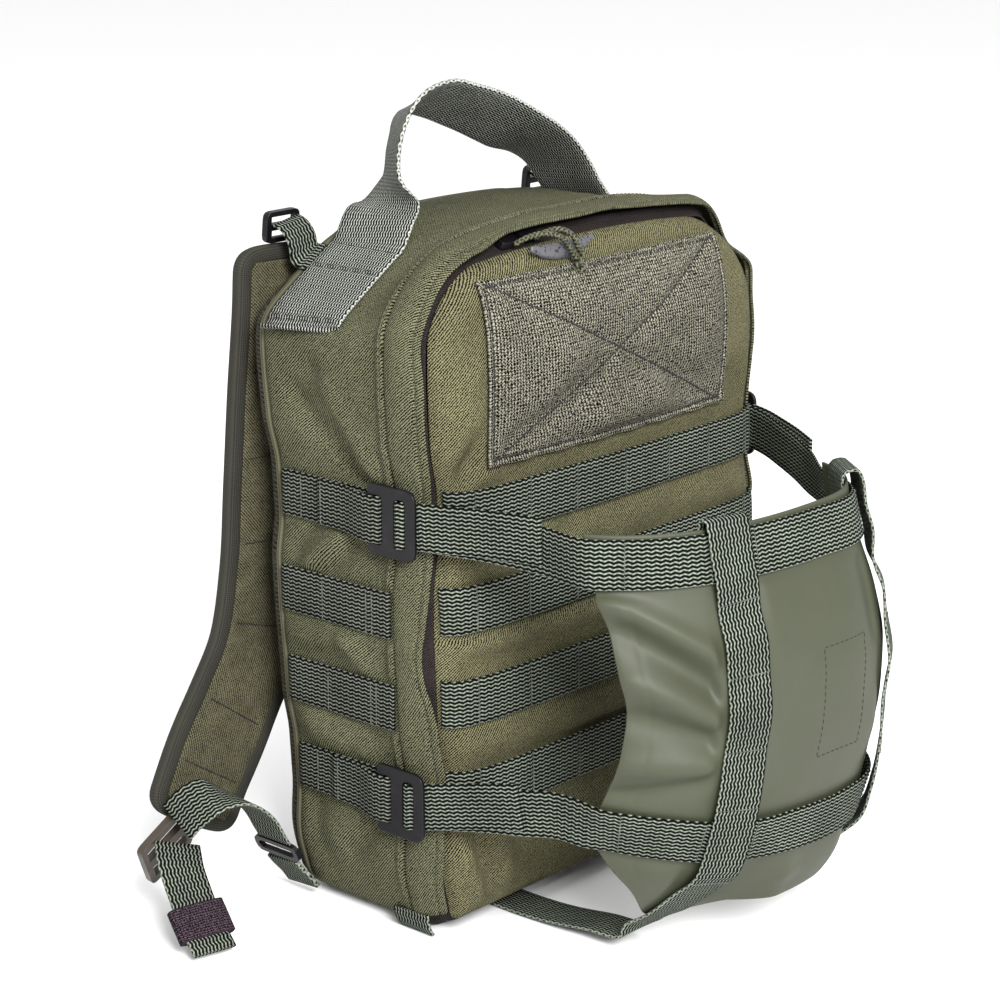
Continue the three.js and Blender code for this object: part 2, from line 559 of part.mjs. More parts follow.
function tailStrap(name, doubledRows) {
  const levels = TAIL_LEVELS[name];
  const [first, last] = [levels[0], levels[levels.length - 1]];
  const seat = TAIL.thick + 4.4 * GAP + WEB.thick / 2;
  const onPanel = (edge) => spread(1, 0, 6).slice(0, -1).map((share) => {
    const x = edge * panelShare(share);
    return tailRow(x, lookup(levels, "x", x, "z"), seat);
  });
  const left = strapHalf(first.z, SIDE_LEVELS[name], `${name}Left`, doubledRows);
  const right = strapHalf(last.z, SIDE_LEVELS[name], `${name}Right`, doubledRows)
    .map((spot) => ({ ...spot, x: -spot.x }));
  const table = [...left, ...onPanel(first.x), tailRow(0, lookup(levels, "x", 0, "z"), seat),
    ...onPanel(last.x).reverse(), ...right.reverse()];
  return ribbon(table, WEB, 1);
}

// Vertical webs of the beavertail: height and distance off the panel, then under to the base
const TAIL_WEB_FOLD = rows("z off raise",
  [224, -2.4, 0], [237, -2.8, 0], [240, -1.2, 3.9], [240, 3.6, 4.5]);
const TAIL_WEB_FORM = rows("z off",
  [238, 6.3], [226, 6.3], [212, 6.3], [198, 2.8], [183, 4.2], [168, 2.4], [147, 4.2], [127, 2.4],
  [110, 4.4], [90, 6.3], [75, 6.4], [60, 6.6], [45, 3.4], [30, 3.2], [19, 3.2]);
const TAIL_WEB_UNDER = rows("y z", [-144, 9], [-122, 6.6], [-96, 3], [-73, 1.5], [-55, 1.5]);

function tailWeb(x, clear) {
  const half = WEB.width / 2;
  const lie = ({ z, off, raise = 0 }) => {
    const spot = tailPoint(x, z, off < 0 ? off - clear : off + clear);
    const side = tailPoint(x + half, z, off).sub(tailPoint(x - half, z, off)).normalize();
    return { x: spot.x, y: spot.y, z: spot.z + raise, wx: side.x, wy: side.y, wz: side.z };
  };
  const under = TAIL_WEB_UNDER.map(({ y, z }) => ({ x, y, z, wx: 1, wy: 0, wz: 0 }));
  return ribbon([...TAIL_WEB_FOLD.map(lie), ...TAIL_WEB_FORM.map(lie), ...under], WEB, 1);
}

// Carry handle: up the left side, over the corner, the arch, and down the right side
function carryHandle() {
  const seat = GAP + GRIP_WEB.thick / 2 + 0.3;
  const bend = BODY.height - BODY.topRadius - 1;
  const topStart = BODY.topRadius - BODY.half + 6;
  const lie = (x, z) => ({ x, y: leaned(HANDLE_Y, z), z, wx: 0, wy: 1, wz: 0 });
  const places = OUTLINE.filter(([x, z]) => x < topStart && z >= bend);
  const end = (sign) => {
    const spots = places.map(([x, z, cut]) => bodyPoint([-sign * x, z, cut], HANDLE_Y, -seat));
    return [lie(sign * (halfAt(HANDLE_LOW) + seat), HANDLE_LOW), ...spots.map(({ x, z }) => lie(x, z))];
  };
  return ribbon([...end(-1), ...HANDLE_FORM, ...end(1).reverse()], GRIP_WEB, 2);
}

// Shoulder strap
function padStations() {
  return stationsOf(PAD_FORM.map((row) => ({ ...row, wx: 1, wy: 0, wz: 0 })), 1);
}

function strapPad() {
  const { width, thick, binding, bevel } = PAD;
  return sweep(padStations(), padSection(width - 2 * binding - 2 * GAP, thick, bevel), false);
}

function strapBinding() {
  const stations = padStations();
  const { width, thick, binding } = PAD;
  const reach = width / 2 - binding / 2;
  const edge = (side) => stations.map(({ centre, across, face }) => {
    const outward = across.clone().multiplyScalar(side);
    return { centre: centre.clone().addScaledVector(outward, reach), across: outward, face };
  });
  const cap = (station, sign) => {
    const { centre, across, face } = station;
    const along = across.clone().cross(face).multiplyScalar(sign);
    return [45, 90, 135].map((degrees) => {
      const angle = THREE.MathUtils.degToRad(degrees);
      const sideways = -sign * Math.cos(angle);
      const out = across.clone().multiplyScalar(sideways).addScaledVector(along, -Math.sin(angle));
      const past = binding / 2 + GAP + (degrees === 90 ? 1.5 : 0.8);
      const spot = centre.clone().addScaledVector(across, sideways * reach).addScaledVector(along, -past);
      return { centre: spot, across: out, face };
    });
  };
  const lastStation = stations[stations.length - 1];
  const loop = [...edge(-1), ...cap(lastStation, 1), ...edge(1).reverse(), ...cap(stations[0], -1)];
  return sweep(loop, rolledSection(binding, thick), true);
}

function plate(shape, thick, curveSegments) {
  const flat = new THREE.ExtrudeGeometry(shape, { depth: thick, bevelEnabled: false, curveSegments });
  return flat.translate(0, 0, -thick / 2);
}

// Ladder-lock: a flat frame with two slots
function ladderLock(wide, high, thick) {
  const shape = roundedPlate(wide, high, 4);
  [[-1, 8], [1, 7]].forEach(([side, frame]) =>
    shape.holes.push(slotPath(0, side * high * 0.22, wide - frame, high * 0.24)));
  return plate(shape, thick, 3);
}

// Load lifter webbing
function lifterWeb() {
  const seat = 1.5 * GAP + NARROW_WEB.thick / 2;
  const rise = LIFTER_RISE.map((row) => ({ ...row, wx: 1, wy: 0, wz: 0.15 }));
  const lie = LIFTER_LIE.map(({ y, off }) => {
    const spot = bodyPoint(LIFTER.place, y, -off - seat);
    return { x: spot.x, y: spot.y, z: spot.z, wx: CORNER_PLANE.up, wy: 0, wz: CORNER_PLANE.across };
  });
  return ribbon([...rise, ...lie], NARROW_WEB, 2);
}

function placed(across, up, spot) {
  const [x, y] = [point(...across).normalize(), point(...up)];
  const z = x.clone().cross(y).normalize();
  return new THREE.Matrix4().makeBasis(x, z.clone().cross(x), z).setPosition(...spot);
}

function ring(wide, high, wire) {
  const shape = roundedPlate(wide + wire * 2, high + wire * 2, 5);
  shape.holes.push(new THREE.Path(roundedPlate(wide, high, 3).getPoints(3).reverse()));
  return plate(shape, wire, 3);
}

function keeper() {
  const [from, to, wide] = [KEEPER.from, KEEPER.to, KEEPER.side].map((spot) => point(...spot));
  const along = to.clone().sub(from).normalize();
  const side = wide.addScaledVector(along, -wide.dot(along)).normalize();
  const face = along.clone().cross(side);
  const loopAt = (section) => [from, to].map((spot) => section.map(([u, v]) =>
    spot.clone().addScaledVector(side, u).addScaledVector(face, v)));
  return wall(loopAt(flatSection(KEEPER.outside)), loopAt(flatSection(KEEPER.inside)), true);
}

// Small loop of webbing sewn to the lower front corner
const BASE_LOOP = { y: -29, low: 1, high: 11, outside: -110 };
function baseLoop() {
  const off = GAP + WEB.thick / 2 - 0.2;
  const { y: level, low, high, outside } = BASE_LOOP;
  const places = OUTLINE.filter(([x, z]) => x < outside && z < high && z > low);
  const spots = places.map((place) => bodyPoint(place, level, -off));
  return ribbon(spots.map(({ x, y, z }) => ({ x, y, z, wx: 0, wy: 1, wz: 0 })), WEB, 1);
}

// Zip pulls
function tube(spots, radius) {
  const path = new THREE.CatmullRomCurve3(spots.map((spot) => point(...spot)));
  const section = new THREE.Shape().absarc(0, 0, radius, 0, 2 * Math.PI, false);
  return new THREE.ExtrudeGeometry(section, { steps: 10, curveSegments: 3, extrudePath: path });
}

function slider() {
  const { wide, high, thick, corner } = SLIDER;
  return plate(roundedPlate(wide, high, corner), thick, 3).translate(0, 0, thick / 2);
}

const CORD_A = [[-66, -57.4, 362.4], [-60, -63, 366.3], [-52, -67.5, 367.4], [-44, -70.3, 364.5],
  [-38, -70.8, 358.5], [-33.5, -71.6, 352], [-32.5, -72.2, 349]];
const CORD_B = [[-50, -57.4, 363], [-46, -62.5, 367], [-41, -67.5, 368], [-35.5, -70.6, 364.5],
  [-32, -71.2, 358.5], [-28.5, -71.6, 353.5]];
const SLIDER_UP = [0, 0.868, 0.497];

function gripBar() {
  const bend = (share) => ({
    x: GRIP.x + GRIP.half * share, y: GRIP.y, z: GRIP.z - GRIP.sag * (1 - share * share), wx: 0, wy: 0, wz: 1,
  });
  const section = padSection(GRIP.high, GRIP.thick, GRIP.bevel);
  return sweep(stationsOf(spread(-1, 1, 4).map(bend), 2), section, false);
}

// Assembly
const pack = new THREE.Group();
pack.name = "beavertail_pack";

function add(parent, name, geometry, colour, place) {
  const material = new THREE.MeshStandardMaterial({ color: COLOURS[colour], roughness: 0.85 });
  const mesh = new THREE.Mesh(geometry, material);
  mesh.name = name;
  if (place) mesh.applyMatrix4(place);
  parent.add(mesh);
}

add(pack, "side_gusset", gusset(), "cloth");
add(pack, "back_pad", backPad(), "cloth");
add(pack, "front_panel", frontPanel(), "cloth");
add(pack, "zip_track", zipTrack(), "zip");
add(pack, "storm_flap", stormFlap(), "cloth");
add(pack, "loop_panel", loopPanel(), "loop");
FRONT_WEBS.forEach((row, i) => add(pack, `front_web_${i + 1}`, frontWeb(row), "webbing"));
add(pack, "carry_handle", carryHandle(), "webbing");
add(pack, "tail_panel", tailPanel(), "coated");
add(pack, "tail_strap_upper", tailStrap("upper", 6), "webbing");
add(pack, "tail_strap_lower", tailStrap("lower", 5), "webbing");
add(pack, "tail_web_left", tailWeb(TAIL.webX.left, 0), "webbing");
add(pack, "tail_web_right", tailWeb(TAIL.webX.right, 1.2), "webbing");

[["left", 1], ["right", -1]].forEach(([name, sign]) => {
  const half = new THREE.Group();
  half.name = `${name}_side`;
  half.scale.x = sign;
  pack.add(half);
  add(half, `hook_strap_upper_${name}`, hookStrap(SIDE_LEVELS.upper), "webbing");
  add(half, `hook_strap_lower_${name}`, hookStrap(SIDE_LEVELS.lower), "webbing");
  add(half, `side_web_upper_${name}`, sideWeb(SIDE_LEVELS.second), "webbing");
  add(half, `side_web_lower_${name}`, sideWeb(SIDE_LEVELS.third), "webbing");
  add(half, `hook_upper_${name}`, hook(), "metal", hookPlace(SIDE_LEVELS.upper));
  add(half, `hook_lower_${name}`, hook(), "metal", hookPlace(SIDE_LEVELS.lower));
  add(half, `shoulder_pad_${name}`, strapPad(), "cloth");
  add(half, `pad_binding_${name}`, strapBinding(), "binding");
  const lock = ladderLock(STRAP_LOCK.wide, STRAP_LOCK.high, STRAP_LOCK.thick);
  const lockPlace = placed([0.8, 0, 0.45], [-0.45, -0.25, 0.8], STRAP_LOCK.spot);
  add(half, `strap_lock_${name}`, lock, "plastic", lockPlace);
  add(half, `strap_web_${name}`, ribbon(STRAP_WEB_FORM, WEB, 3), "webbing");
  add(half, `strap_tail_${name}`, ribbon(STRAP_TAIL_FORM, FOLDED_TAIL, 2), "webbing");
  add(half, `strap_keeper_${name}`, keeper(), "keeper");
  const anchor = ring(ANCHOR_RING.wide, ANCHOR_RING.high, ANCHOR_RING.wire);
  add(half, `anchor_ring_${name}`, anchor, "metal", placed([0, 1, 0], [-0.4, 0, 0.9], ANCHOR_RING.spot));
  add(half, `anchor_web_${name}`, ribbon(ANCHOR_FORM, DOUBLED_WEB, 2), "webbing");
  add(half, `lifter_web_${name}`, lifterWeb(), "webbing");
  const lifterLock = ladderLock(LIFTER.lockWide, LIFTER.lockHigh, LIFTER.lockThick);
  add(half, `lifter_lock_${name}`, lifterLock, "plastic", placed([1, 0, 0], [0, -0.1, 1], LIFTER.lockSpot));
  add(half, `base_loop_${name}`, baseLoop(), "webbing");
});

const zip = new THREE.Group();
zip.name = "zip_pull";
pack.add(zip);
add(zip, "zip_slider_a", slider(), "metal", placed([1, 0, 0], SLIDER_UP, [-66, -50.1, 361.9]));
add(zip, "zip_slider_b", slider(), "metal", placed([1, 0, 0], SLIDER_UP, [-50, -50.1, 362.9]));
add(zip, "zip_cord_a", tube(CORD_A, CORD_RADIUS), "cord");
add(zip, "zip_cord_b", tube(CORD_B, CORD_RADIUS), "cord");
add(zip, "zip_grip", gripBar(), "grip");

export default pack;
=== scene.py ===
# Beavertail pack: cloth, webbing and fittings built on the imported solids.
# Lengths in the tables are millimetres, in the part's own frame. The front faces -Y.
import math

import bpy
import numpy as np
from mathutils import Matrix, Vector


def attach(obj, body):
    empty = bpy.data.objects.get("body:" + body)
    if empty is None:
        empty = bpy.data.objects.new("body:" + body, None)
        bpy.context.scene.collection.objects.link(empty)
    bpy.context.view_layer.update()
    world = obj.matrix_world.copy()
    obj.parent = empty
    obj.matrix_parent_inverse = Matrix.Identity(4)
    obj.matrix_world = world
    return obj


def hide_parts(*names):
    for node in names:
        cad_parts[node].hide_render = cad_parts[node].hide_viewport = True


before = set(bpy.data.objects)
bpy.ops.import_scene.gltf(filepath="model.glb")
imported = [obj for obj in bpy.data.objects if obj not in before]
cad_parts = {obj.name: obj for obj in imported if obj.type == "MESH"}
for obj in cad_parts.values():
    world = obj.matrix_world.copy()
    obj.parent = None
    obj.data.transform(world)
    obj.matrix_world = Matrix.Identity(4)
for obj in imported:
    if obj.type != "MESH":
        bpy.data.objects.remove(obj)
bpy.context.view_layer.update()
MM = 0.001
FRONTWARD = (0, -1, 0)


def table(columns, *values):
    names = columns.split()
    return {name: np.array([row[i] for row in values], float) for i, name in enumerate(names)}


# Sizes, as in the part's source
GAP = 0.4
WEB = (25, 1.6)
GRIP_WEB = (50, 2)
NARROW_WEB = (20, 1.6)
HALF, HEIGHT, MIDDLE = 140, 370, 185
TOP_RADIUS, FRONT_LEFT_RADIUS, RIGHT_RADIUS, BASE_RADIUS = 44, 48, 66, 14
BACK_SEAM, GUSSET_SEAM, FRONT_RIM, FRONT_FACE = 46, -44, -60, -73
LEAN_SLOPE, LEAN_PIVOT, LEAN_FRONT = 0.068, 190, 0.35
CROWN_DROP, CROWN_FROM, CROWN_TO = 10, 290, 360
FALL_DEPTH, FALL_FROM, FALL_TO = 5, 10, 58
PLANE_ACROSS, PLANE_UP, PLANE_REACH, PLANE_SOFT, PLANE_FROM, PLANE_TO = 0.527, 0.85, 346.5, 6, -54, -14
FRONT_INSET = 9
FRONT_SWELL, SWELL_LEVEL, SWELL_ACROSS, SWELL_UP = 7, 302, 85, 38
SEAM_GROOVE, SEAM_RIDGE, SEAM_ROWS, SEAM_HALF = 167, 163, (168.6, 165.4), 118
CHANNEL_X, CHANNEL_Z, CHANNEL_INSET = 34, (118, 246), 17
BACK_EDGE = 3.2
FLAP_SEAM, FLAP_CLEAR, FLAP_THICK = -40, 0.7, 1.4
LOOP_CENTRE, LOOP_HALF, LOOP_LOW, LOOP_HIGH, LOOP_SEAT = -8, 96, 255, 350, 1.8
SIDE_LEVELS = (228, 177, 127, 77)
SIDE_SEAT = GAP + WEB[1] / 2 + 0.3
SIDE_BACK = BACK_SEAM - 6
HOOK_Y, HOOK_WIDE, HOOK_HIGH, HOOK_BAR, HOOK_THICK, HOOK_OFFSET = -44, 33, 38, 4, 2.2, 7.4
HOOK_SLOT, HOOK_ROUNDING = 12.8, 0.55
TAIL_CENTRE, TAIL_POWER, TAIL_THICK, TAIL_CROWDING = -100, 2.6, 1.2, 2.25
TAIL_LOW, TAIL_TURN, TAIL_TOP = 15, 48, 240
BOX_X, BOX_Z = (-17, 17), (110, 170)
TAIL_WEB_X = {"left": -69, "right": 50}
PULL_FROM, PULL_TO = 18, 56
FREE_END_RISE = 5
HEM_RISE, HEM_FROM, HEM_TO, HEM_BELOW, HEM_DEPTH = 14, 38, 58, 48, 33
HANDLE_Y, HANDLE_LOW, HANDLE_HALF = 15, 319, 28
PAD_WIDTH, PAD_THICK, PAD_BINDING, PAD_CORNER = 62, 10, 6, 14.0
QUILT_ROWS = (60, 108, 156, 204, 252, 288)
THICK_WEB = (25, 2.6)
TACK_SPACING, TACKED_HALF = 38, 114
SIDE_TACKS, HANDLE_TACKS, TAIL_WEB_TACKS = (30, 62, 66), (6, 8, 44, 46, 62), (204, 168, 127, 96, 52)
TAIL_STRAP_TACKS = ((-112, -170), (-78, -190), (-54, -202), (42, -195), (66, -175))
CORD_RADIUS = 1.5
GRIP_CENTRE, GRIP_HALF, GRIP_SAG = (-38, -65.6, 360.5), 24.5, 4
KNOT_CENTRE, KNOT_SIZE = (-32, -72, 348.5), (2.4, 1.6, 3)
BASE_LOOP_Y, BASE_LOOP_LOW, BASE_LOOP_HIGH = -40, 1.2, 13

# View and lights: name, place in metres, size and power
CAMERA = {"azimuth": -48.28, "elevation": 15.88, "distance": 1529.52, "lens": 99.43,
          "target": (-12.57, 0, 204.38)}
LIGHTS = (("key", (-1.2, -2.0, 1.6), 1.0, 145), ("top", (0, -0.2, 2.4), 1.2, 16))
FLOOR_HALF, FLOOR_DROP = 6, 0.0002

# Stitches: length, gap, width and how far they stand out
GUSSET_STITCH = (2.2, 1.2, 0.55, 0.1)
FLAP_STITCH = (2.2, 1.2, 0.6, 0.3)
SEAM_STITCH = (2.2, 1.2, 0.5, 0.1)
LOOP_STITCH = (2.6, 0.6, 1.4, 0.1)
TACK_STITCH = (1.9, 0.3, 0.8, 0.1)
BOX_STITCH = (2.4, 1.2, 0.5, 0.05)

SIDE_FORM = table(
    "z half",
    (0, 129), (14, 134), (40, 139), (64.5, 136.5), (89.5, 136.5), (114.5, 139.5), (139.5, 140),
    (164.5, 140.5), (189.5, 140), (215.5, 135.5), (240.5, 135.5), (268, 140), (298, 141), (326, 140),
    (370, 138))
FRONT_FORM = table(
    "inset y",
    (9, -60), (11.5, -64.5), (17, -68.5), (27, -71), (44, -73), (78, -74), (140, -75))
BACK_FORM = table(
    "inset y",
    (BACK_EDGE, 46.7), (3.6, 51), (5, 54.6), (8.5, 57.4), (14, 58.4), (40, 58.8))
FRONT_WEBS = table("level seat half", (232, 2.5, 127), (182, 1.4, 131), (132, 1.3, 131), (82, 1.8, 131))
FLAP_FORM = table(
    "along reach lift",
    (0, -65, 0), (0.05, -66, 0), (0.1, -66, 0), (0.12, -63, 0), (0.136, -59, 0.5), (0.153, -57, 0.5),
    (0.17, -59, 0.5), (0.19, -62, 0), (0.25, -62, 0), (0.28, -63, 0), (0.33, -62, 0), (0.4, -62, 1),
    (0.43, -62, 5.4), (0.48, -62, 5.4), (0.53, -62, 4), (0.57, -62, 3), (0.61, -62, 0.5), (0.67, -62, 0),
    (0.72, -63, 0), (0.81, -62, 0), (0.83, -59, 0.5), (0.847, -57, 0.5), (0.864, -59, 0.5), (0.88, -63, 0),
    (0.9, -66, 0), (0.95, -66, 0), (1, -65, 0))
FLAP_BEND = table("share inset", (0, 0), (0.4, 0.6), (0.75, 3), (1, 6.2))
TAIL_FORM = table(
    "z left right front left_edge right_edge pull",
    (15, 107, 88, 86, 60, 14, 37), (20, 108, 88, 91, 67, 22, 32), (30, 111, 88, 99, 82, 36, 24),
    (48, 114, 88, 107, 97, 56, 11), (62, 117, 88, 110, 107, 67, 3), (75, 119, 88, 112, 112, 74, 0),
    (98, 125, 89, 117, 116, 77, 0), (130, 132, 92, 122, 117, 80, 0), (155, 135, 91, 123, 118, 80, 0),
    (182, 136, 85, 119, 121, 75, 0), (212, 135, 75, 110, 123, 66, 0), (225, 135, 72, 106, 124, 64, 0),
    (240, 134, 71, 103, 124, 63, 0))
TAIL_LEVELS = {
    "upper": table("x z", (-124, 226), (0, 225), (64, 222)),
    "lower": table("x z", (-114, 86), (-66, 76), (0, 71), (74, 71)),
}
STRAP_RUN = table(
    "forward upper_left upper_right lower_left lower_right",
    (3.2, 0, 0, 0, 0), (8.5, 0.2, 0.2, 0.4, 0.4), (22, 4, 5, 5, 9.5), (38, 9, 14, 10.5, 19),
    (59, 13, 27, 15, 33), (77, 15, 40, 20, 45))
HOOK_TURN = table(
    "forward off",
    (13, 0), (10, 0.3), (8.6, 2.2), (6.6, 4.3), (4.6, 3.9), (3.2, 2))
TAIL_WEB_FOLD = table("z off raise", (224, -2.4, 0), (237, -2.8, 0), (240, -1.2, 3.9), (240, 3.6, 4.5))
TAIL_WEB_FORM = table(
    "z off",
    (238, 6.3), (226, 6.3), (212, 6.3), (198, 2.8), (183, 4.2), (168, 2.4), (147, 4.2), (127, 2.4),
    (110, 4.4), (90, 6.3), (75, 6.4), (60, 6.6), (45, 3.4), (30, 3.2), (19, 3.2))
TAIL_WEB_UNDER = table("y z", (-144, 9), (-122, 6.6), (-96, 3), (-73, 1.5), (-55, 1.5))
HANDLE_FORM = table(
    "x y z wx wy wz",
    (-76, 28, 369, 0, 1, 0), (-68.5, 28, 375, 0.2, 0.97, -0.05), (-66, 29, 389, 0.6, 0.78, -0.1),
    (-62.5, 30, 405, 0.6, 0.78, -0.25), (-52, 31, 420, 0.45, 0.8, -0.4), (-36, 31.5, 426.5, 0.2, 0.88, -0.42),
    (-18, 31.5, 423, 0.1, 0.9, -0.42), (6, 31, 414.5, 0, 0.9, -0.42), (38, 30.5, 399.5, 0, 0.92, -0.38),
    (58, 30, 389.5, 0, 0.97, -0.2), (69, 29, 380, 0, 1, -0.06), (77, 28, 369, 0, 1, 0))
PAD_FORM = table(
    "x y z",
    (-104, 75.2, 344), (-105, 75.8, 320), (-108, 78, 275), (-112, 79, 222), (-117, 78.5, 175),
    (-128.5, 77, 132), (-148.5, 75.5, 101), (-170, 73, 73), (-182.2, 72, 52.5))
STRAP_WEB_FORM = table(
    "x y z wx wy wz",
    (-206, 57.5, 56.5, 0, 0.7, 0.7), (-201, 51, 65.5, 0, 0.75, 0.65), (-193, 45, 70.5, 0, 0.9, 0.4),
    (-178, 41.5, 66.5, 0, 1, 0.1), (-163, 40, 53, 0, 1, 0), (-155, 40, 40, 0, 1, 0),
    (-151.7, 40, 34.6, 0, 1, 0))
STRAP_TAIL_FORM = table(
    "x y z wx wy wz",
    (-207.4, 56.2, 44.6, 0.9, -0.4, -0.2), (-216, 44, 38, 1, -0.35, -0.1),
    (-220, 33, 27, 1, -0.3, -0.05), (-223, 21, 14, 1, -0.3, -0.05), (-226, 8, 4.2, 1, -0.3, -0.05))
KEEPER_FORM = table(
    "x y z wx wy wz",
    (-221.2, 28.4, 21.8, 1, -0.3, -0.05), (-222.8, 21.8, 15.6, 1, -0.3, -0.05),
    (-224.4, 15.2, 9.4, 1, -0.3, -0.05))
LIFTER_FORM = table(
    "x y z wx wy wz",
    (-103.5, 71.4, 364.5, 1, 0, 0.15), (-103, 66.5, 363, 1, 0, 0.15), (-102.5, 61, 357, 1, 0, 0.2),
    (-101, 59, 347.5, 0.85, 0, 0.53), (-100, 52, 347, 0.85, 0, 0.53))
ANCHOR_FORM = table(
    "x y z wx wy wz",
    (-146.2, 40, 22.1, 0, 1, 0), (-142.6, 39, 17, 0, 1, 0), (-138.4, 37, 11.5, 0, 1, 0),
    (-134.1, 36, 5, 0, 1, 0))
CORD_A = table(
    "x y z",
    (-66, -57.4, 362.4), (-60, -63, 366.3), (-52, -67.5, 367.4), (-44, -70.3, 364.5), (-38, -70.8, 358.5),
    (-33.5, -71.6, 352), (-32.5, -72.2, 349))
CORD_B = table(
    "x y z",
    (-50, -57.4, 363), (-46, -62.5, 367), (-41, -67.5, 368), (-35.5, -70.6, 364.5), (-32, -71.2, 358.5),
    (-28.5, -71.6, 353.5))

# Folds and puffs of the cloth: where each runs on its surface, how high and how wide
FOLD = "a0 b0 a1 b1 height spread"
SIDE_FOLDS = table(
    FOLD,
    (-23, 240, 25, 283, -2.2, 7), (-28, 247, 2, 290, 1.7, 7), (-12, 262, 12, 300, -1.0, 8),
    (22, 190, 0, 211, 1.6, 5), (8, 190, -10, 208, -1.3, 6), (30, 200, 20, 212, -1.2, 6),
    (34, 152, -8, 158, 1.3, 8), (30, 143, 4, 150, -1.0, 6), (-22, 142, -6, 160, 1.0, 5),
    (30, 104, -10, 98, 1.4, 8), (-22, 112, -4, 96, -1.0, 6), (20, 45, -20, 52, 1.2, 12),
    (-26, 62, 0, 38, -1.3, 7), (30, 60, 24, 30, -1.0, 8), (10, 318, -10, 345, 1.0, 14))
FRONT_FOLDS = table(
    FOLD,
    (-118, 252, -104, 268, -2.4, 7), (-104, 250, -96, 300, 1.2, 9), (-124, 262, -112, 300, 0.9, 7),
    (-122, 207, -60, 206, 1.6, 9), (60, 207, 122, 206, 1.6, 9), (-122, 160, 20, 159, 1.9, 6),
    (-30, 207, 40, 208, 1.2, 9), (-122, 107, 122, 107, 1.6, 9), (-115, 52, 115, 52, 1.0, 12),
    (-116, 60, -104, 34, -2.0, 7), (-104, 62, -92, 30, 1.6, 7), (-121, 48, -112, 20, 1.2, 5),
    (20, 160, 122, 159, 1.5, 6), (118, 252, 104, 268, -2.0, 7))
LOOP_FOLDS = table(
    FOLD,
    (-60, 318, -20, 330, 1.4, 15), (30, 322, 66, 318, 1.4, 15), (-66, 285, -50, 305, 1.5, 14),
    (60, 290, 74, 306, 1.4, 13), (-24, 269, 24, 271, 4.2, 12), (-28, 260, 46, 260, 0.8, 7),
    (-22, 294, -86, 264, -2.2, 7), (6, 294, 70, 264, -2.2, 7), (52, 272, 72, 260, -0.7, 6))
TAIL_FOLDS = table(
    FOLD,
    (-120, 207, -84, 178, 5.0, 6), (-118, 192, -84, 160, -5.0, 7), (-116, 168, -84, 146, 4.4, 7),
    (-115, 148, -84, 134, -4.4, 7), (-114, 124, -82, 122, 3.8, 7), (-112, 106, -84, 112, -2.8, 6),
    (-50, 206, -44, 170, 1.6, 10), (-46, 150, -40, 110, -1.4, 14), (0, 180, 20, 120, 2.0, 20),
    (30, 200, 32, 168, -1.6, 8), (36, 130, 30, 104, 1.4, 9), (60, 236, 64, 206, 1.6, 4),
    (-94, 60, -60, 24, 2.0, 8), (-46, 60, -52, 34, -1.4, 7), (-30, 58, -20, 40, 1.2, 10),
    (24, 60, 30, 30, 1.0, 9))


# Small number helpers
def read(rows, key, at, column):
    """Smooth look-up through a table's rows, level outside them."""
    xs, ys = rows[key], rows[column]
    at = np.asarray(at, float)
    steps = np.diff(xs)
    slopes = np.diff(ys) / steps
    ends = np.zeros_like(ys)
    both = slopes[:-1] * slopes[1:]
    total = slopes[:-1] + slopes[1:]
    safe = np.where(both > 0, total, 1)
    ends[1:-1] = np.where(both > 0, 2 * both / safe, 0)
    ends[0], ends[-1] = slopes[0], slopes[-1]
    i = np.clip(np.searchsorted(xs, at, side="right") - 1, 0, len(steps) - 1)
    t = np.clip((at - xs[i]) / steps[i], 0, 1)
    low, high = ys[i], ys[i + 1]
    rise = ends[i] * steps[i]
    fall = ends[i + 1] * steps[i]
    cubic = 2 * low - 2 * high + rise + fall
    square = 3 * high - 3 * low - 2 * rise - fall
    return low + t * (rise + t * (square + t * cubic))


def step(x, low, high):
    t = np.clip((np.asarray(x, float) - low) / (high - low), 0, 1)
    return t * t * (3 - 2 * t)


def relief(folds, a, b):
    total = np.zeros(np.broadcast(a, b).shape)
    for k in range(len(folds["height"])):
        da, db = folds["a1"][k] - folds["a0"][k], folds["b1"][k] - folds["b0"][k]
        t = np.clip(((a - folds["a0"][k]) * da + (b - folds["b0"][k]) * db) / (da * da + db * db), 0, 1)
        away = np.hypot(a - folds["a0"][k] - t * da, b - folds["b0"][k] - t * db)
        total = total + folds["height"][k] * np.exp(-(away / folds["spread"][k]) ** 2)
    return total


def ripple(a, b, size, seed):
    """Uneven cloth: a few crossed waves of about one size."""
    chance = np.random.default_rng(seed)
    total = np.zeros(np.broadcast(a, b).shape)
    for _ in range(7):
        turn, shift, scale = chance.uniform(0, 6.28), chance.uniform(0, 6.28), chance.uniform(0.7, 1.6)
        total = total + np.sin((a * math.cos(turn) + b * math.sin(turn)) * 6.28 / (size * scale) + shift)
    return total / 4


def unit(v):
    return v / np.maximum(np.linalg.norm(v, axis=-1, keepdims=True), 1e-9)


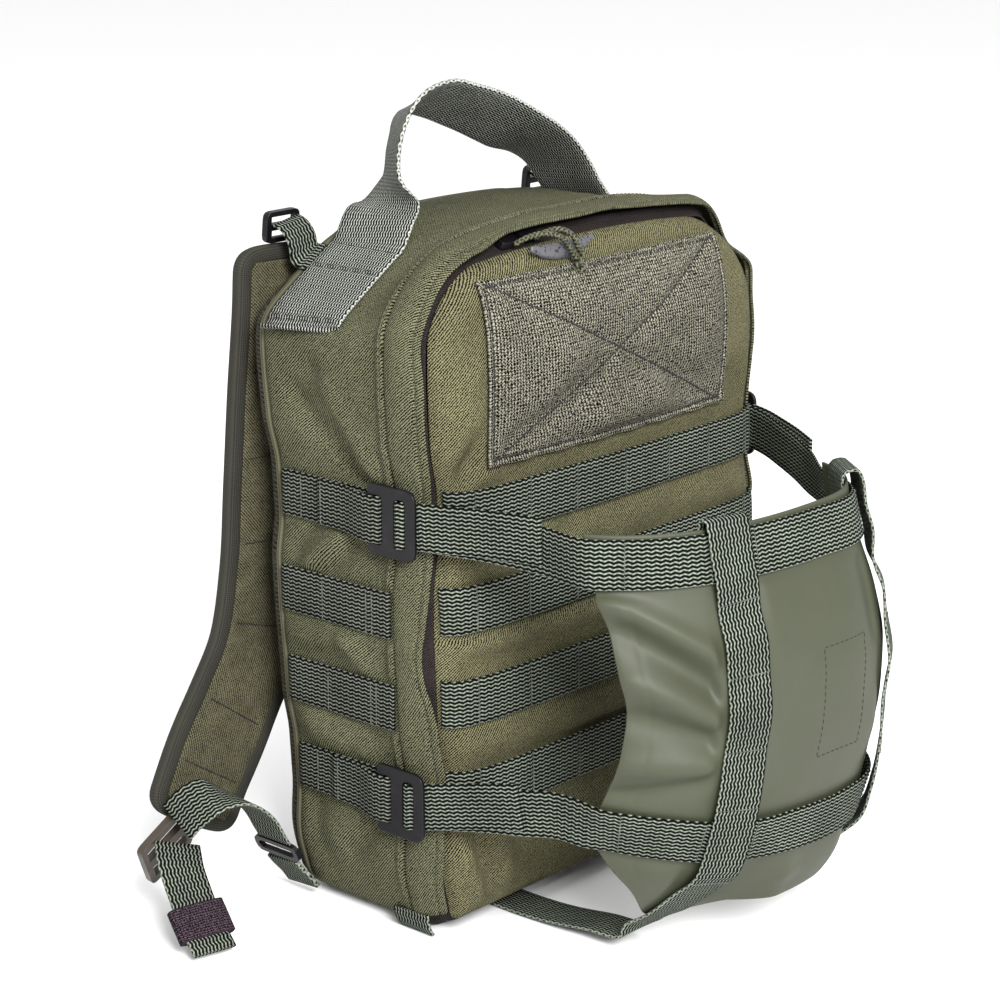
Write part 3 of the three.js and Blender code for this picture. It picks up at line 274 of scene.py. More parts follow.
def through(points, per_span=14):
    """A smooth line through points, three-dimensional and centripetal."""
    p = np.asarray(points, float)
    p = np.vstack([2 * p[0] - p[1], p, 2 * p[-1] - p[-2]])
    out = []
    for i in range(1, len(p) - 2):
        p0, p1, p2, p3 = p[i - 1], p[i], p[i + 1], p[i + 2]
        d0, d1, d2 = [max(np.sum((b - a) ** 2), 1e-12) ** 0.25 for a, b in ((p0, p1), (p1, p2), (p2, p3))]
        d1 = d1 if d1 > 1e-4 else 1
        d0 = d0 if d0 > 1e-4 else d1
        d2 = d2 if d2 > 1e-4 else d1
        t1 = ((p1 - p0) / d0 - (p2 - p0) / (d0 + d1) + (p2 - p1) / d1) * d1
        t2 = ((p2 - p1) / d1 - (p3 - p1) / (d1 + d2) + (p3 - p2) / d2) * d1
        t = np.linspace(0, 1, per_span, endpoint=False)[:, None]
        square = 3 * p2 - 3 * p1 - 2 * t1 - t2
        cubic = 2 * p1 - 2 * p2 + t1 + t2
        out.append(p1 + t1 * t + square * t ** 2 + cubic * t ** 3)
    return np.vstack(out + [p[-2][None]])


def crowded(count, bend):
    """Shares from -1 to 1, closer together towards both ends."""
    return np.sin(np.linspace(-1, 1, count) * bend) / math.sin(bend)


def clear_of(place, levels, low, high):
    """0 on every level, rising to 1 between two distances from it."""
    bare = np.ones(np.shape(place))
    for level in levels:
        bare = bare * step(np.abs(place - level), low, high)
    return bare


def dip(away, spread):
    return np.exp(-(away / spread) ** 2)


def grid_of(run, across):
    """Places on the cloth from lengths along it and across it."""
    return np.stack(np.broadcast_arrays(run[None, :], across), axis=-1)


def along(points):
    return np.concatenate([[0], np.cumsum(np.linalg.norm(np.diff(points, axis=0), axis=1))])


def carried(centre, side, closed=False):
    """A line with width directions square to it, and face directions."""
    spots = np.concatenate([centre[-1:], centre, centre[:1]]) if closed else centre
    forward = unit(np.gradient(spots, axis=0))
    forward = forward[1:-1] if closed else forward
    across = unit(side - forward * np.sum(side * forward, axis=1, keepdims=True))
    return {"centre": centre, "across": across, "face": np.cross(forward, across), "run": along(centre)}


def stations(rows, spacing=2.0):
    """Evenly spaced places on a table's line, with width and face directions."""
    if isinstance(rows, dict):
        rows = np.stack([rows[name] for name in ("x", "y", "z", "wx", "wy", "wz")], axis=1)
    rows = np.asarray(rows, float)
    centre, across = through(rows[:, :3]), through(rows[:, 3:])
    run = along(centre)
    count = max(4, int(round(run[-1] / spacing)))
    at = np.linspace(0, run[-1], count + 1)
    centre, across = [np.stack([np.interp(at, run, values[:, k]) for k in range(3)], axis=1)
                      for values in (centre, across)]
    return {**carried(centre, across), "run": at}


# Form of the body
def half_at(z):
    return read(SIDE_FORM, "z", z, "half")


def leaned(y, z):
    share = np.clip((y - FRONT_FACE) / (BACK_SEAM - FRONT_FACE), 0, 1)
    weight = LEAN_FRONT + (1 - LEAN_FRONT) * share
    return y + LEAN_SLOPE * (z - LEAN_PIVOT) * weight


def crown_drop(x, z):
    return CROWN_DROP * (x / HALF) ** 2 * step(z, CROWN_FROM, CROWN_TO)


def back_fall(y, z):
    return FALL_DEPTH * step(y, FALL_FROM, FALL_TO) * step(z, CROWN_FROM, CROWN_TO)


def corner_press(x, z, y, inset):
    """How far the handle's ends press a top corner in, square to its sloping plane."""
    beyond = PLANE_ACROSS * np.abs(x) + PLANE_UP * z - (PLANE_REACH - inset)
    eased = np.maximum(beyond + 2 * PLANE_SOFT, 0) ** 2 / (8 * PLANE_SOFT)
    return np.where(beyond > 2 * PLANE_SOFT, beyond, eased) * step(y, PLANE_FROM, PLANE_TO)


def outline(spacing):
    """Places on the outline seen from the front, from the base's middle round by the left: x, z, cut."""
    def line(x0, z0, x1, z1):
        count = max(2, int(math.hypot(x1 - x0, z1 - z0) / spacing))
        t = np.linspace(0, 1, count, endpoint=False)
        return np.stack([x0 + (x1 - x0) * t, z0 + (z1 - z0) * t, 0 * t], axis=1)

    def arc(cx, cz, radius, start, stop):
        count = max(4, int(radius * math.pi / 2 / spacing))
        angle = np.radians(np.linspace(start, stop, count, endpoint=False))
        cut = np.sin(2 * angle) ** 2 if radius == TOP_RADIUS else 0 * angle
        return np.stack([cx + radius * np.cos(angle), cz + radius * np.sin(angle), cut], axis=1)

    left = np.vstack([
        line(0, 0, BASE_RADIUS - HALF, 0),
        arc(BASE_RADIUS - HALF, BASE_RADIUS, BASE_RADIUS, 270, 180),
        line(-HALF, BASE_RADIUS, -HALF, HEIGHT - TOP_RADIUS),
        arc(TOP_RADIUS - HALF, HEIGHT - TOP_RADIUS, TOP_RADIUS, 180, 90),
        line(TOP_RADIUS - HALF, HEIGHT, 0, HEIGHT),
        [[0, HEIGHT, 0]]])
    right = left[1:-1][::-1] * [-1, 1, 1]
    return np.vstack([left, right])


def body_points(places, y, inset):
    x, z, cut = places[:, 0], places[:, 1], places[:, 2]
    left = x < 0
    rounder = cut * (np.where(left, FRONT_LEFT_RADIUS, RIGHT_RADIUS) - TOP_RADIUS) * (math.sqrt(2) - 1)
    deep = inset + rounder * np.where(left, np.clip(inset / FRONT_INSET, 0, 1), 1)
    height = MIDDLE + (z - MIDDLE) * (1 - deep / MIDDLE)
    across = x * (1 - deep / HALF) * (half_at(np.clip(height, 0, HEIGHT)) / HALF)
    top = height - crown_drop(across, height) - back_fall(y, height)
    press = corner_press(across, top, y, inset)
    return np.stack(np.broadcast_arrays(across - np.sign(x) * PLANE_ACROSS * press, leaned(y, height),
                                        top - PLANE_UP * press), axis=-1)


def inset_at(x, drooped, left_radius=FRONT_LEFT_RADIUS):
    """Distance in from the outline."""
    z = drooped + crown_drop(x, drooped + CROWN_DROP / 2)
    radius = np.where(z > MIDDLE, np.where(x < 0, left_radius, RIGHT_RADIUS), BASE_RADIUS)
    across = np.abs(x) * (HALF / half_at(z)) - HALF + radius
    up = np.abs(z - MIDDLE) - MIDDLE + radius
    outside = np.hypot(np.maximum(across, 0), np.maximum(up, 0))
    return radius - outside - np.minimum(np.maximum(across, up), 0)


def front_at(x, z):
    """The front's depth, with the soft swell behind the loop panel."""
    swell = FRONT_SWELL * dip(x - LOOP_CENTRE, SWELL_ACROSS) * dip(z - SWELL_LEVEL, SWELL_UP)
    return leaned(read(FRONT_FORM, "inset", inset_at(x, z), "y"), z) - swell


def panel_places(inset, left_radius, across_count, up_count):
    """A grid of places inside the outline, closer together towards its edge."""
    shares = crowded(across_count, 1.4)
    heights = MIDDLE + (MIDDLE - inset) * crowded(up_count, 1.4)

    def reach(top_radius):
        radius = np.where(heights > MIDDLE, top_radius, BASE_RADIUS)
        up = np.maximum(np.abs(heights - MIDDLE) - MIDDLE + radius, 0)
        wide = np.sqrt(np.maximum((radius - inset) ** 2 - up ** 2, 0)) + HALF - radius
        return np.where(radius > inset, wide, HALF - inset) * half_at(heights) / HALF

    side = np.where(shares[None, :] < 0, reach(left_radius)[:, None], reach(RIGHT_RADIUS)[:, None])
    x = shares[None, :] * side
    z = heights[:, None] - crown_drop(x, heights[:, None])
    return x, z


# Form of the beavertail
def tail_point(x, z, off):
    def at(px, pz):
        side = np.where(px < 0, read(TAIL_FORM, "z", pz, "left"), read(TAIL_FORM, "z", pz, "right"))
        front = read(TAIL_FORM, "z", pz, "front")
        bend = (1 - np.minimum(1, np.abs(px) / side) ** TAIL_POWER) ** (1 / TAIL_POWER)
        pull = read(TAIL_FORM, "z", pz, "pull") * step(np.abs(px), PULL_FROM, PULL_TO)
        return np.stack(np.broadcast_arrays(px, TAIL_CENTRE - (front - pull) * bend, pz), axis=-1)

    x, z = np.broadcast_arrays(np.asarray(x, float), np.asarray(z, float))
    reach = 4
    side = at(x + reach, z) - at(x - reach, z)
    up = at(x, z + reach) - at(x, z - reach)
    outward = unit(np.cross(side, up))
    return at(x, z) + outward * np.asarray(off)[..., None]


def panel_share(share):
    return np.sin(share * math.pi / TAIL_CROWDING) / math.sin(math.pi / TAIL_CROWDING)


# Materials
def colour(values):
    """A colour for the shader from red, green and blue out of 255."""
    shares = [value / 255 for value in values]
    return tuple(c / 12.92 if c <= 0.04045 else ((c + 0.055) / 1.055) ** 2.4 for c in shares) + (1.0,)


class Look:
    """A material and short ways to add nodes to it."""

    def __init__(self, name, roughness, specular):
        self.material = bpy.data.materials.new(name)
        self.material.use_nodes = True
        self.tree = self.material.node_tree
        self.shader = self.tree.nodes["Principled BSDF"]
        self.shader.inputs["Roughness"].default_value = roughness
        self.shader.inputs["Specular IOR Level"].default_value = specular
        self.heights = []

    def put(self, socket, value):
        if isinstance(value, bpy.types.NodeSocket):
            self.tree.links.new(value, socket)
        else:
            socket.default_value = value

    def math(self, operation, a, b=0.0, c=0.0):
        node = self.tree.nodes.new("ShaderNodeMath")
        node.operation = operation
        for socket, value in zip(node.inputs, (a, b, c)):
            self.put(socket, value)
        return node.outputs[0]

    def add(self, a, b):
        return self.math("ADD", a, b)

    def times(self, a, b):
        return self.math("MULTIPLY", a, b)

    def minus(self, a, b):
        return self.math("SUBTRACT", a, b)

    def scaled(self, value, by, plus):
        return self.math("MULTIPLY_ADD", value, by, plus)

    def blend(self, *parts):
        """The sum of values, each times its weight."""
        total = self.times(*parts[0])
        for value, weight in parts[1:]:
            total = self.add(total, self.times(value, weight))
        return total

    def wave(self, phase):
        """From 0 to 1 and back as the phase grows by one."""
        return self.scaled(self.math("SINE", self.times(phase, 2 * math.pi)), 0.5, 0.5)

    def stripes(self, place, pitch):
        return self.wave(self.times(place, 1 / pitch))

    def ramp(self, value, low, high):
        node = self.tree.nodes.new("ShaderNodeMapRange")
        node.interpolation_type = "SMOOTHSTEP"
        self.put(node.inputs["Value"], value)
        node.inputs["From Min"].default_value = low
        node.inputs["From Max"].default_value = high
        return node.outputs[0]

    def cloth(self):
        """Places on the cloth in millimetres: along, across."""
        node = self.tree.nodes.new("ShaderNodeUVMap")
        node.uv_map = "cloth"
        parts = self.tree.nodes.new("ShaderNodeSeparateXYZ")
        self.tree.links.new(node.outputs[0], parts.inputs[0])
        self.uv = node.outputs[0]
        return parts.outputs[0], parts.outputs[1]

    def noise(self, scale, detail=2.0, on_cloth=False):
        node = self.tree.nodes.new("ShaderNodeTexNoise")
        node.inputs["Scale"].default_value = scale
        node.inputs["Detail"].default_value = detail
        if on_cloth:
            self.tree.links.new(self.uv, node.inputs["Vector"])
        else:
            place = self.tree.nodes.new("ShaderNodeTexCoord")
            self.tree.links.new(place.outputs["Object"], node.inputs["Vector"])
        return node.outputs[0]

    def mix(self, factor, a, b):
        node = self.tree.nodes.new("ShaderNodeMix")
        node.data_type = "RGBA"
        self.put(node.inputs[0], factor)
        node.inputs[6].default_value = colour(a)
        node.inputs[7].default_value = colour(b)
        return node.outputs[2]

    def shade(self, base, factor):
        """A colour made darker or lighter by a number."""
        node = self.tree.nodes.new("ShaderNodeVectorMath")
        node.operation = "SCALE"
        self.put(node.inputs[0], base)
        self.put(node.inputs[3], factor)
        return node.outputs[0]

    def bump(self, height, strength, depth_mm):
        node = self.tree.nodes.new("ShaderNodeBump")
        node.inputs["Strength"].default_value = strength
        node.inputs["Distance"].default_value = depth_mm * MM
        self.put(node.inputs["Height"], height)
        if self.heights:
            self.tree.links.new(self.heights[-1], node.inputs["Normal"])
        self.heights.append(node.outputs[0])

    def done(self, base):
        self.put(self.shader.inputs["Base Color"], base)
        if self.heights:
            self.tree.links.new(self.heights[-1], self.shader.inputs["Normal"])
        return self.material


def woven(name, dark, light, pitch=1.9, contrast=1.0):
    """Coarse nylon whose yarns show as fine diagonal lines."""
    look = Look(name, 0.88, 0.08)
    u, v = look.cloth()
    stray = look.noise(0.9, 2, True)
    slant = look.add(look.times(look.minus(u, v), 1 / pitch), look.times(stray, 0.9))
    twill = look.wave(slant)
    cross = look.stripes(look.add(u, v), pitch)
    grain = look.ramp(look.noise(1.5, 2, True), 0.3, 0.7)
    weave = look.ramp(look.blend((twill, 0.5), (cross, 0.2), (grain, 0.3)), 0.2, 0.8)
    patch = look.noise(26, 4)
    worn = look.noise(0.11, 3, True)
    lit = look.scaled(look.minus(weave, 0.5), contrast, 0.5)
    base = look.mix(look.scaled(look.minus(worn, 0.5), 0.55, lit), dark, light)
    base = look.shade(base, look.scaled(patch, 0.7, 0.65))
    look.bump(look.noise(55, 3), 0.35, 1.2)
    look.bump(weave, 0.5, 0.35)
    return look.done(base)


def zigzag(name, dark, light, row=2.07, period=4.4, swing=0.8):
    """Dark webbing whose light yarn runs to and fro in rows."""
    look = Look(name, 0.85, 0.06)
    u, v = look.cloth()
    sway = look.times(look.math("PINGPONG", look.times(u, 2 / period), 1.0), swing / row)
    rank = look.add(look.add(look.times(v, 1 / row), sway), look.times(look.noise(0.5, 2, True), 0.3))
    place = look.math("ABSOLUTE", look.minus(look.math("FRACT", rank), 0.5))
    broken = look.scaled(look.wave(look.times(u, 2 / period)), 0.45, 0.55)
    raised = look.times(look.ramp(place, 0.28, 0.05), broken)
    base = look.shade(look.mix(raised, dark, light), look.scaled(look.noise(40, 4), 0.8, 0.6))
    look.bump(raised, 0.7, 0.45)
    return look.done(base)


def loop_knit(name, dark, light, column=1.9):
    """Loop fastener: short curled threads in uneven upright columns."""
    look = Look(name, 0.95, 0.03)
    u, v = look.cloth()
    wander = look.noise(0.3, 2, True)
    curl = look.noise(0.6, 2, True)
    rib = look.times(u, 1 / column)
    lean = look.math("PINGPONG", look.times(rib, 2), 1.0)
    columns = look.wave(look.add(rib, look.times(wander, 0.9)))
    loops = look.wave(look.blend((v, 1 / 1.7), (lean, 0.5), (curl, 2.0)))
    fuzz = look.noise(2.6, 3, True)
    raised = look.blend((columns, 0.3), (loops, 0.38), (fuzz, 0.5))
    base = look.mix(look.ramp(raised, 0.46, 0.86), dark, light)
    base = look.shade(base, look.scaled(look.noise(24, 3), 0.5, 0.75))
    look.bump(raised, 1.0, 1.0)
    return look.done(base)


def coated(name, base_colour, dark):
    """Smooth coated cloth with a faint grain."""
    look = Look(name, 0.56, 0.32)
    u, v = look.cloth()
    grain = look.blend((look.stripes(u, 0.8), 0.5), (look.stripes(v, 0.8), 0.5))
    patch = look.noise(18, 4)
    fine = look.noise(160, 4)
    base = look.mix(look.scaled(patch, 0.7, -0.05), base_colour, dark)
    base = look.shade(base, look.scaled(fine, 0.14, 0.93))
    look.bump(look.noise(40, 3), 0.25, 1.0)
    look.bump(look.add(look.times(grain, 0.5), fine), 0.12, 0.2)
    return look.done(base)


def ribbed(name, dark, light, pitch=1.3):
    """Grosgrain binding: fine ribs along the tape."""
    look = Look(name, 0.85, 0.1)
    u, v = look.cloth()
    raised = look.blend((look.stripes(v, pitch), 0.6), (look.stripes(u, 1.1), 0.4))
    base = look.mix(look.blend((raised, 0.8), (look.noise(40, 3), 0.3)), dark, light)
    look.bump(raised, 0.5, 0.3)
    return look.done(base)


def hard(name, base_colour, worn, roughness, grain, specular=0.5):
    """Coated metal or moulded plastic with a fine grain and lighter rubbed spots."""
    look = Look(name, roughness, specular)
    rubbed = look.ramp(look.noise(90, 5), 0.5, 0.78)
    look.bump(look.noise(900, 3), 0.2, grain)
    return look.done(look.mix(look.times(rubbed, 0.6), base_colour, worn))


def braid(name, dark, light, pitch=2.4):
    """Braided cord: crossing strands with light flecks."""
    look = Look(name, 0.7, 0.3)
    u, v = look.cloth()
    a = look.wave(look.add(look.times(u, 1 / pitch), look.times(v, 1 / 3.1)))
    b = look.wave(look.minus(look.times(u, 1 / pitch), look.times(v, 1 / 3.1)))
    strands = look.math("MAXIMUM", a, b)
    fleck = look.noise(0.9, 2, True)
    base = look.mix(look.times(look.ramp(strands, 0.3, 1.0), look.ramp(fleck, 0.3, 0.65)), dark, light)
    look.bump(strands, 0.6, 0.4)
    return look.done(base)


def cracked(name, base_colour, dark):
    """Pale shrunk cover with dark nicks."""
    look = Look(name, 0.4, 0.45)
    nicks = look.ramp(look.noise(520, 3), 0.58, 0.63)
    look.bump(nicks, 0.6, -0.5)
    return look.done(look.mix(nicks, base_colour, dark))


CLOTH = woven("side_cloth", (3, 3, 1), (98, 98, 76), 1.7, 2.7)
# The front cloth is the side cloth's own fabric painted lighter, with a little more weave contrast: painted
# light where the front faces the key lamp.
FRONT_CLOTH_PAINTED_LIGHTER = woven("front_cloth", (4, 4, 1), (106, 103, 77), 1.7, 2.9)
SHADE_CLOTH = woven("pad_cloth", (22, 21, 14), (88, 85, 66), 1.9, 1.0)
BACK_CLOTH = woven("back_cloth", (24, 24, 20), (70, 68, 58), 2.6, 0.8)
WEBBING = zigzag("webbing", (3, 4, 2), (128, 135, 122), 2.1, 4.6)
SIDE_WEBBING = zigzag("side_webbing", (3, 4, 2), (114, 118, 109))
GRIP_WEBBING = zigzag("grip_webbing", (5, 6, 4), (172, 175, 167), 1.8, 3.8, 0.7)
LOOP = loop_knit("loop_knit", (2, 2, 1), (142, 139, 124))
COATED = coated("coated_cloth", (57, 60, 45), (48, 51, 37))
BINDING = ribbed("binding", (12, 12, 10), (54, 53, 47))
PIPING = ribbed("piping", (20, 20, 14), (88, 86, 68), 1.6)
# The zip tape's own brown-grey is darkened almost to black: painted shade from the storm flap that lies over
# it.
ZIP_TAPE_PAINTED_SHADE = woven("zip_tape", (7, 6, 6), (50, 44, 43), 1.4, 1.1)
KEEPER = loop_knit("keeper_knit", (17, 13, 16), (80, 67, 76), 1.4)
METAL = hard("dark_metal", (9, 7, 10), (24, 21, 27), 0.4, 0.04, 0.22)
PLASTIC = hard("dark_plastic", (48, 41, 32), (84, 76, 66), 0.45, 0.06, 0.4)
CORD = braid("braided_cord", (8, 8, 5), (92, 92, 68))
GRIP = cracked("grip_cover", (72, 72, 76), (10, 10, 11))
THREAD = hard("olive_thread", (82, 80, 61), (100, 98, 77), 0.7, 0.05)
DARK_THREAD = hard("dark_thread", (12, 11, 8), (24, 23, 18), 0.7, 0.05)
PALE_THREAD = hard("pale_thread", (66, 69, 63), (92, 95, 88), 0.7, 0.05)


# Meshes
def linked(name, data):
    thing = bpy.data.objects.new(name, data)
    bpy.context.scene.collection.objects.link(thing)
    return thing


def placed(name, mesh, material, nodes):
    mesh.materials.clear()
    mesh.materials.append(material)
    piece = linked(name, mesh)
    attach(piece, "root")
    if nodes:
        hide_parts(*nodes)
    return piece


def piece_of(name, points, faces, corners, material, nodes=()):
    mesh = bpy.data.meshes.new(name)
    mesh.from_pydata((np.asarray(points).reshape(-1, 3) * MM).tolist(), [], faces)
    layer = mesh.uv_layers.new(name="cloth")
    layer.data.foreach_set("uv", np.asarray(corners, np.float32).ravel())
    mesh.polygons.foreach_set("use_smooth", [True] * len(mesh.polygons))
    return placed(name, mesh, material, nodes)


def grid_faces(rows, columns, loop):
    spans = columns if loop else columns - 1
    i, j = np.meshgrid(np.arange(rows - 1), np.arange(spans), indexing="ij")
    i, j = i.ravel(), j.ravel()
    after = (j + 1) % columns
    here, below = i * columns, (i + 1) * columns
    faces = np.stack([here + j, below + j, below + after, here + after], 1)
    places = np.stack([np.stack([i, j], 1), np.stack([i + 1, j], 1), np.stack([i + 1, j + 1], 1),
                       np.stack([i, j + 1], 1)], 1)
    return faces, places


def sheet_of(name, points, cloth, thick, outward, material, nodes=(), loop=False):
    """A wall of cloth: its outer skin is the grid of points, and its thickness goes inward."""
    rows, columns = points.shape[:2]
    faces, places = grid_faces(rows, columns, loop)
    flat = points.reshape(-1, 3)
    middle = flat[faces].mean(axis=1)
    normal = np.cross(flat[faces[:, 2]] - flat[faces[:, 0]], flat[faces[:, 3]] - flat[faces[:, 1]])
    if np.sum(normal * outward(middle)) < 0:
        faces, places = faces[:, ::-1], places[:, ::-1]
    corners = cloth[places[..., 0], places[..., 1]]
    piece = piece_of(name, points, faces.tolist(), corners, material, nodes)
    wall = piece.modifiers.new("wall", "SOLIDIFY")
    wall.thickness = thick * MM
    wall.offset = -1
    return piece


def swept(name, line, section, material, nodes=(), swell=None, loop=False, taper=None):
    """A section of (across, face) places carried along stations."""
    section = np.asarray(section, float)
    count, size = len(line["centre"]), len(section)
    lift = section[None, :, 1] * np.ones((count, 1))
    if swell is not None:
        lift = lift + swell(line["run"][:, None], section[None, :, 0])
    size_at = np.ones(count) if taper is None else taper
    points = line["centre"][:, None] + size_at[:, None, None] * (
        line["across"][:, None] * section[None, :, :1] + line["face"][:, None] * lift[..., None])
    ring = np.arange(size)
    after = (ring + 1) % size
    faces, corners = [], []
    spans = count if loop else count - 1
    length = line["run"][-1] + (np.linalg.norm(line["centre"][0] - line["centre"][-1]) if loop else 0)
    runs = np.append(line["run"], length)
    cloth_across = np.append(section[:, 0], section[0, 0])
    for i in range(spans):
        here, ahead = i * size, (i + 1) % count * size
        for k in ring:
            faces.append((here + k, here + after[k], ahead + after[k], ahead + k))
            corners += [(runs[i], cloth_across[k]), (runs[i], section[after[k], 0]),
                        (runs[i + 1], section[after[k], 0]), (runs[i + 1], cloth_across[k])]
    if not loop:
        faces.append(tuple(ring[::-1]))
        corners += [(runs[0] + section[k, 1], section[k, 0]) for k in ring[::-1]]
        faces.append(tuple((count - 1) * size + ring))
        corners += [(runs[count - 1] + section[k, 1], section[k, 0]) for k in ring]
    flat = points.reshape(-1, 3)
    a, b, c, d = flat[np.array(faces[:spans * size])].transpose(1, 0, 2)
    if np.sum(a * (np.cross(b, c) + np.cross(c, d))) < 0:
        turned = []
        start = 0
        for f in faces:
            turned += corners[start:start + len(f)][::-1]
            start += len(f)
        faces, corners = [f[::-1] for f in faces], turned
    return piece_of(name, points, faces, corners, material, nodes)


def web_section(size, parts=6):
    """Flat webbing with slightly rounded edges and a low crown."""
    width, thick = size
    u = np.linspace(-width / 2 + 0.5, width / 2 - 0.5, parts)
    upper = [(x, thick / 2) for x in u] + [(width / 2, thick * 0.15), (width / 2, -thick * 0.15)]
    return upper + [(-x, -y) for x, y in upper]


def round_section(radius, sides=12):
    return [(radius * math.cos(k * 2 * math.pi / sides), radius * math.sin(k * 2 * math.pi / sides))
            for k in range(sides)]


def oval_section(width, thick, power=3.0, sides=28):
    angles = np.linspace(0, 2 * math.pi, sides, endpoint=False)
    c, s = np.cos(angles), np.sin(angles)
    return np.stack([width / 2 * np.sign(c) * np.abs(c) ** (2 / power),
                     thick / 2 * np.sign(s) * np.abs(s) ** (2 / power)], axis=1)


def ribbon(name, rows, size, material, nodes):
    """Webbing along a line, whose stations it gives back."""
    line = stations(rows)
    swept(name, line, web_section(size), material, nodes)
    return line


def turn_to(line, i, direction):
    """Which way a line's face has to turn to look in a direction."""
    return 1 if line["face"][i] @ np.array(direction, float) > 0 else -1


def flipped(rows):
    """The same line on the right side."""
    if isinstance(rows, dict):
        return {**rows, "x": -rows["x"], "wx": -rows["wx"]}
    return np.asarray(rows, float) * [-1, 1, 1, -1, 1, 1]


# Stitches: each thread colour is one piece
STITCHES = {}


def sew(thread, points, normals, stitch):
    """A row of stitches along a line that lies on cloth."""
    length, gap, width, raise_by = stitch
    normals = np.broadcast_to(np.asarray(normals, float), points.shape)
    run = along(points)
    count = int(run[-1] / (length + gap))
    for k in range(count):
        middle = (k + 0.5) * run[-1] / count
        ends = []
        for at in (middle - length / 2, middle + length / 2):
            ends.append(np.array([np.interp(at, run, points[:, c]) for c in range(3)]))
        up = unit(np.array([np.interp(middle, run, normals[:, c]) for c in range(3)]))
        STITCHES.setdefault(thread.name, (thread, []))[1].append((ends[0], ends[1], up, width, raise_by))


def stitch_pieces():
    shares = (0.0, 0.22, 0.78, 1.0)
    sizes = (0.35, 1.0, 1.0, 0.35)
    for name, (thread, rows) in STITCHES.items():
        points, faces, corners = [], [], []
        for start, stop, up, width, raise_by in rows:
            first = len(points)
            forward = unit(stop - start)
            side = np.cross(forward, up)
            for share, size in zip(shares, sizes):
                spot = start + (stop - start) * share + up * raise_by
                for turn in range(5):
                    angle = turn * 2 * math.pi / 5
                    points.append(spot + (side * math.cos(angle) + up * math.sin(angle)) * width / 2 * size)
            for ring in range(3):
                for turn in range(5):
                    a, b = first + ring * 5 + turn, first + ring * 5 + (turn + 1) % 5
                    faces.append((a, b, b + 5, a + 5))
                    corners += [(0, 0), (0, 1), (1, 1), (1, 0)]
            faces.append(tuple(first + k for k in reversed(range(5))))
            faces.append(tuple(first + 15 + k for k in range(5)))
            corners += [(0, 0)] * 10
        piece_of("stitches_" + name, np.array(points), faces, corners, thread)


def normals_of(points, outward):
    """Outward directions on a grid of points."""
    rows, columns = np.gradient(points, axis=0), np.gradient(points, axis=1)
    normal = unit(np.cross(rows, columns))
    turn = np.sign(np.sum(normal * outward(points), axis=-1, keepdims=True))
    return normal * np.where(turn == 0, 1, turn)


def from_axis(points):
    return points * [1, 0, 1] - np.array([0, 0, MIDDLE])


def towards(direction):
    return lambda points: np.broadcast_to(np.array(direction, float), points.shape)


# Body cloth
def side_relief(y, z):
    bare = clear_of(z, SIDE_LEVELS, 11, 17)
    puff = np.zeros_like(bare)
    for low, high in zip(SIDE_LEVELS[1:], SIDE_LEVELS[:-1]):
        share = np.clip((z - low - 12) / (high - low - 24), 0, 1)
        puff = puff + 3.0 * np.sin(math.pi * share) ** 0.8 * step(y, -30, -12) * step(y, 44, 20)
    return bare * (relief(SIDE_FOLDS, y, z) * 2.4 + ripple(y, z, 34, 3) * 0.6) + puff * bare


def side_cloth():
    places = outline(2.6)
    ridge_start, ridge_end = FLAP_SEAM + 7, FLAP_SEAM
    depths = np.concatenate([
        BACK_SEAM - np.array([0, 1.2, 2.6, 5]),
        np.arange(BACK_SEAM - 8, ridge_start, -2.6),
        np.linspace(ridge_start, ridge_end + 0.2, 8),
        [ridge_end - 0.3, ridge_end - 0.5, -42, GUSSET_SEAM]])
    insets = np.interp(-depths, [-BACK_SEAM, 5 - BACK_SEAM, -26, -GUSSET_SEAM], [3, 0.4, 0, 0])
    points = np.stack([body_points(places, y, inset) for y, inset in zip(depths, insets)])
    wide = np.concatenate([points[:, -1:], points, points[:, :1]], axis=1)
    normal = normals_of(wide, from_axis)[:, 1:-1]
    depth = depths[:, None] * np.ones(points.shape[1])
    height = points[..., 2]
    flank = np.abs(normal[..., 0]) ** 2
    lift = side_relief(depth, height) * flank * step(height, 4, 30)
    slack = ripple(points[..., 0], depth, 60, 5) * 0.6 + 1.5 * dip(depth - 10, 26)
    lift = lift + step(height, 330, 362) * (1 - flank) * slack
    under = clear_of(height, SIDE_LEVELS, 13, 17)
    handle = np.where(np.abs(depth - HANDLE_Y) < HANDLE_HALF, step(HANDLE_LOW - 6 - height, 0, 8), 1)
    ridge = np.sin(math.pi / 2 * step(depth, ridge_start, ridge_end + 2)) * (depth > ridge_end - 0.1)
    seam = 1.9 * ridge * under * step(height, 6, 24)
    sunk = -0.35 * (depth < ridge_end - 0.1)
    lift = lift * np.clip(handle + (1 - step(height, 300, 318)), 0, 1) * (depth > ridge_end - 0.1)
    points = points + normal * (lift + seam + sunk)[..., None]
    loop_points = np.concatenate([points, points[:, :1]], axis=1)
    run = along(loop_points[8])
    cloth = grid_of(run, -depths[:, None])
    sheet_of("gusset_cloth", points, cloth, 2, from_axis, CLOTH, ["side_gusset"], True)
    line, sides = points[-7], normal[-7]
    for part in split_runs(under[-7] * (line[:, 2] > 20) > 0.6):
        sew(THREAD, line[part], sides[part], GUSSET_STITCH)


def laid_flat(points):
    """Lengths along a grid's rows, from the middle."""
    steps = np.linalg.norm(np.diff(points, axis=1), axis=-1)
    run = np.cumsum(np.concatenate([0 * steps[:, :1], steps], axis=1), axis=1)
    return run - run[:, run.shape[1] // 2, None]


def split_runs(wanted):
    """Indices of each unbroken stretch that is wanted."""
    runs, current = [], []
    for i, yes in enumerate(wanted):
        if yes:
            current.append(i)
        elif current:
            runs.append(current)
            current = []
    runs.append(current)
    return [r for r in runs if len(r) > 3]


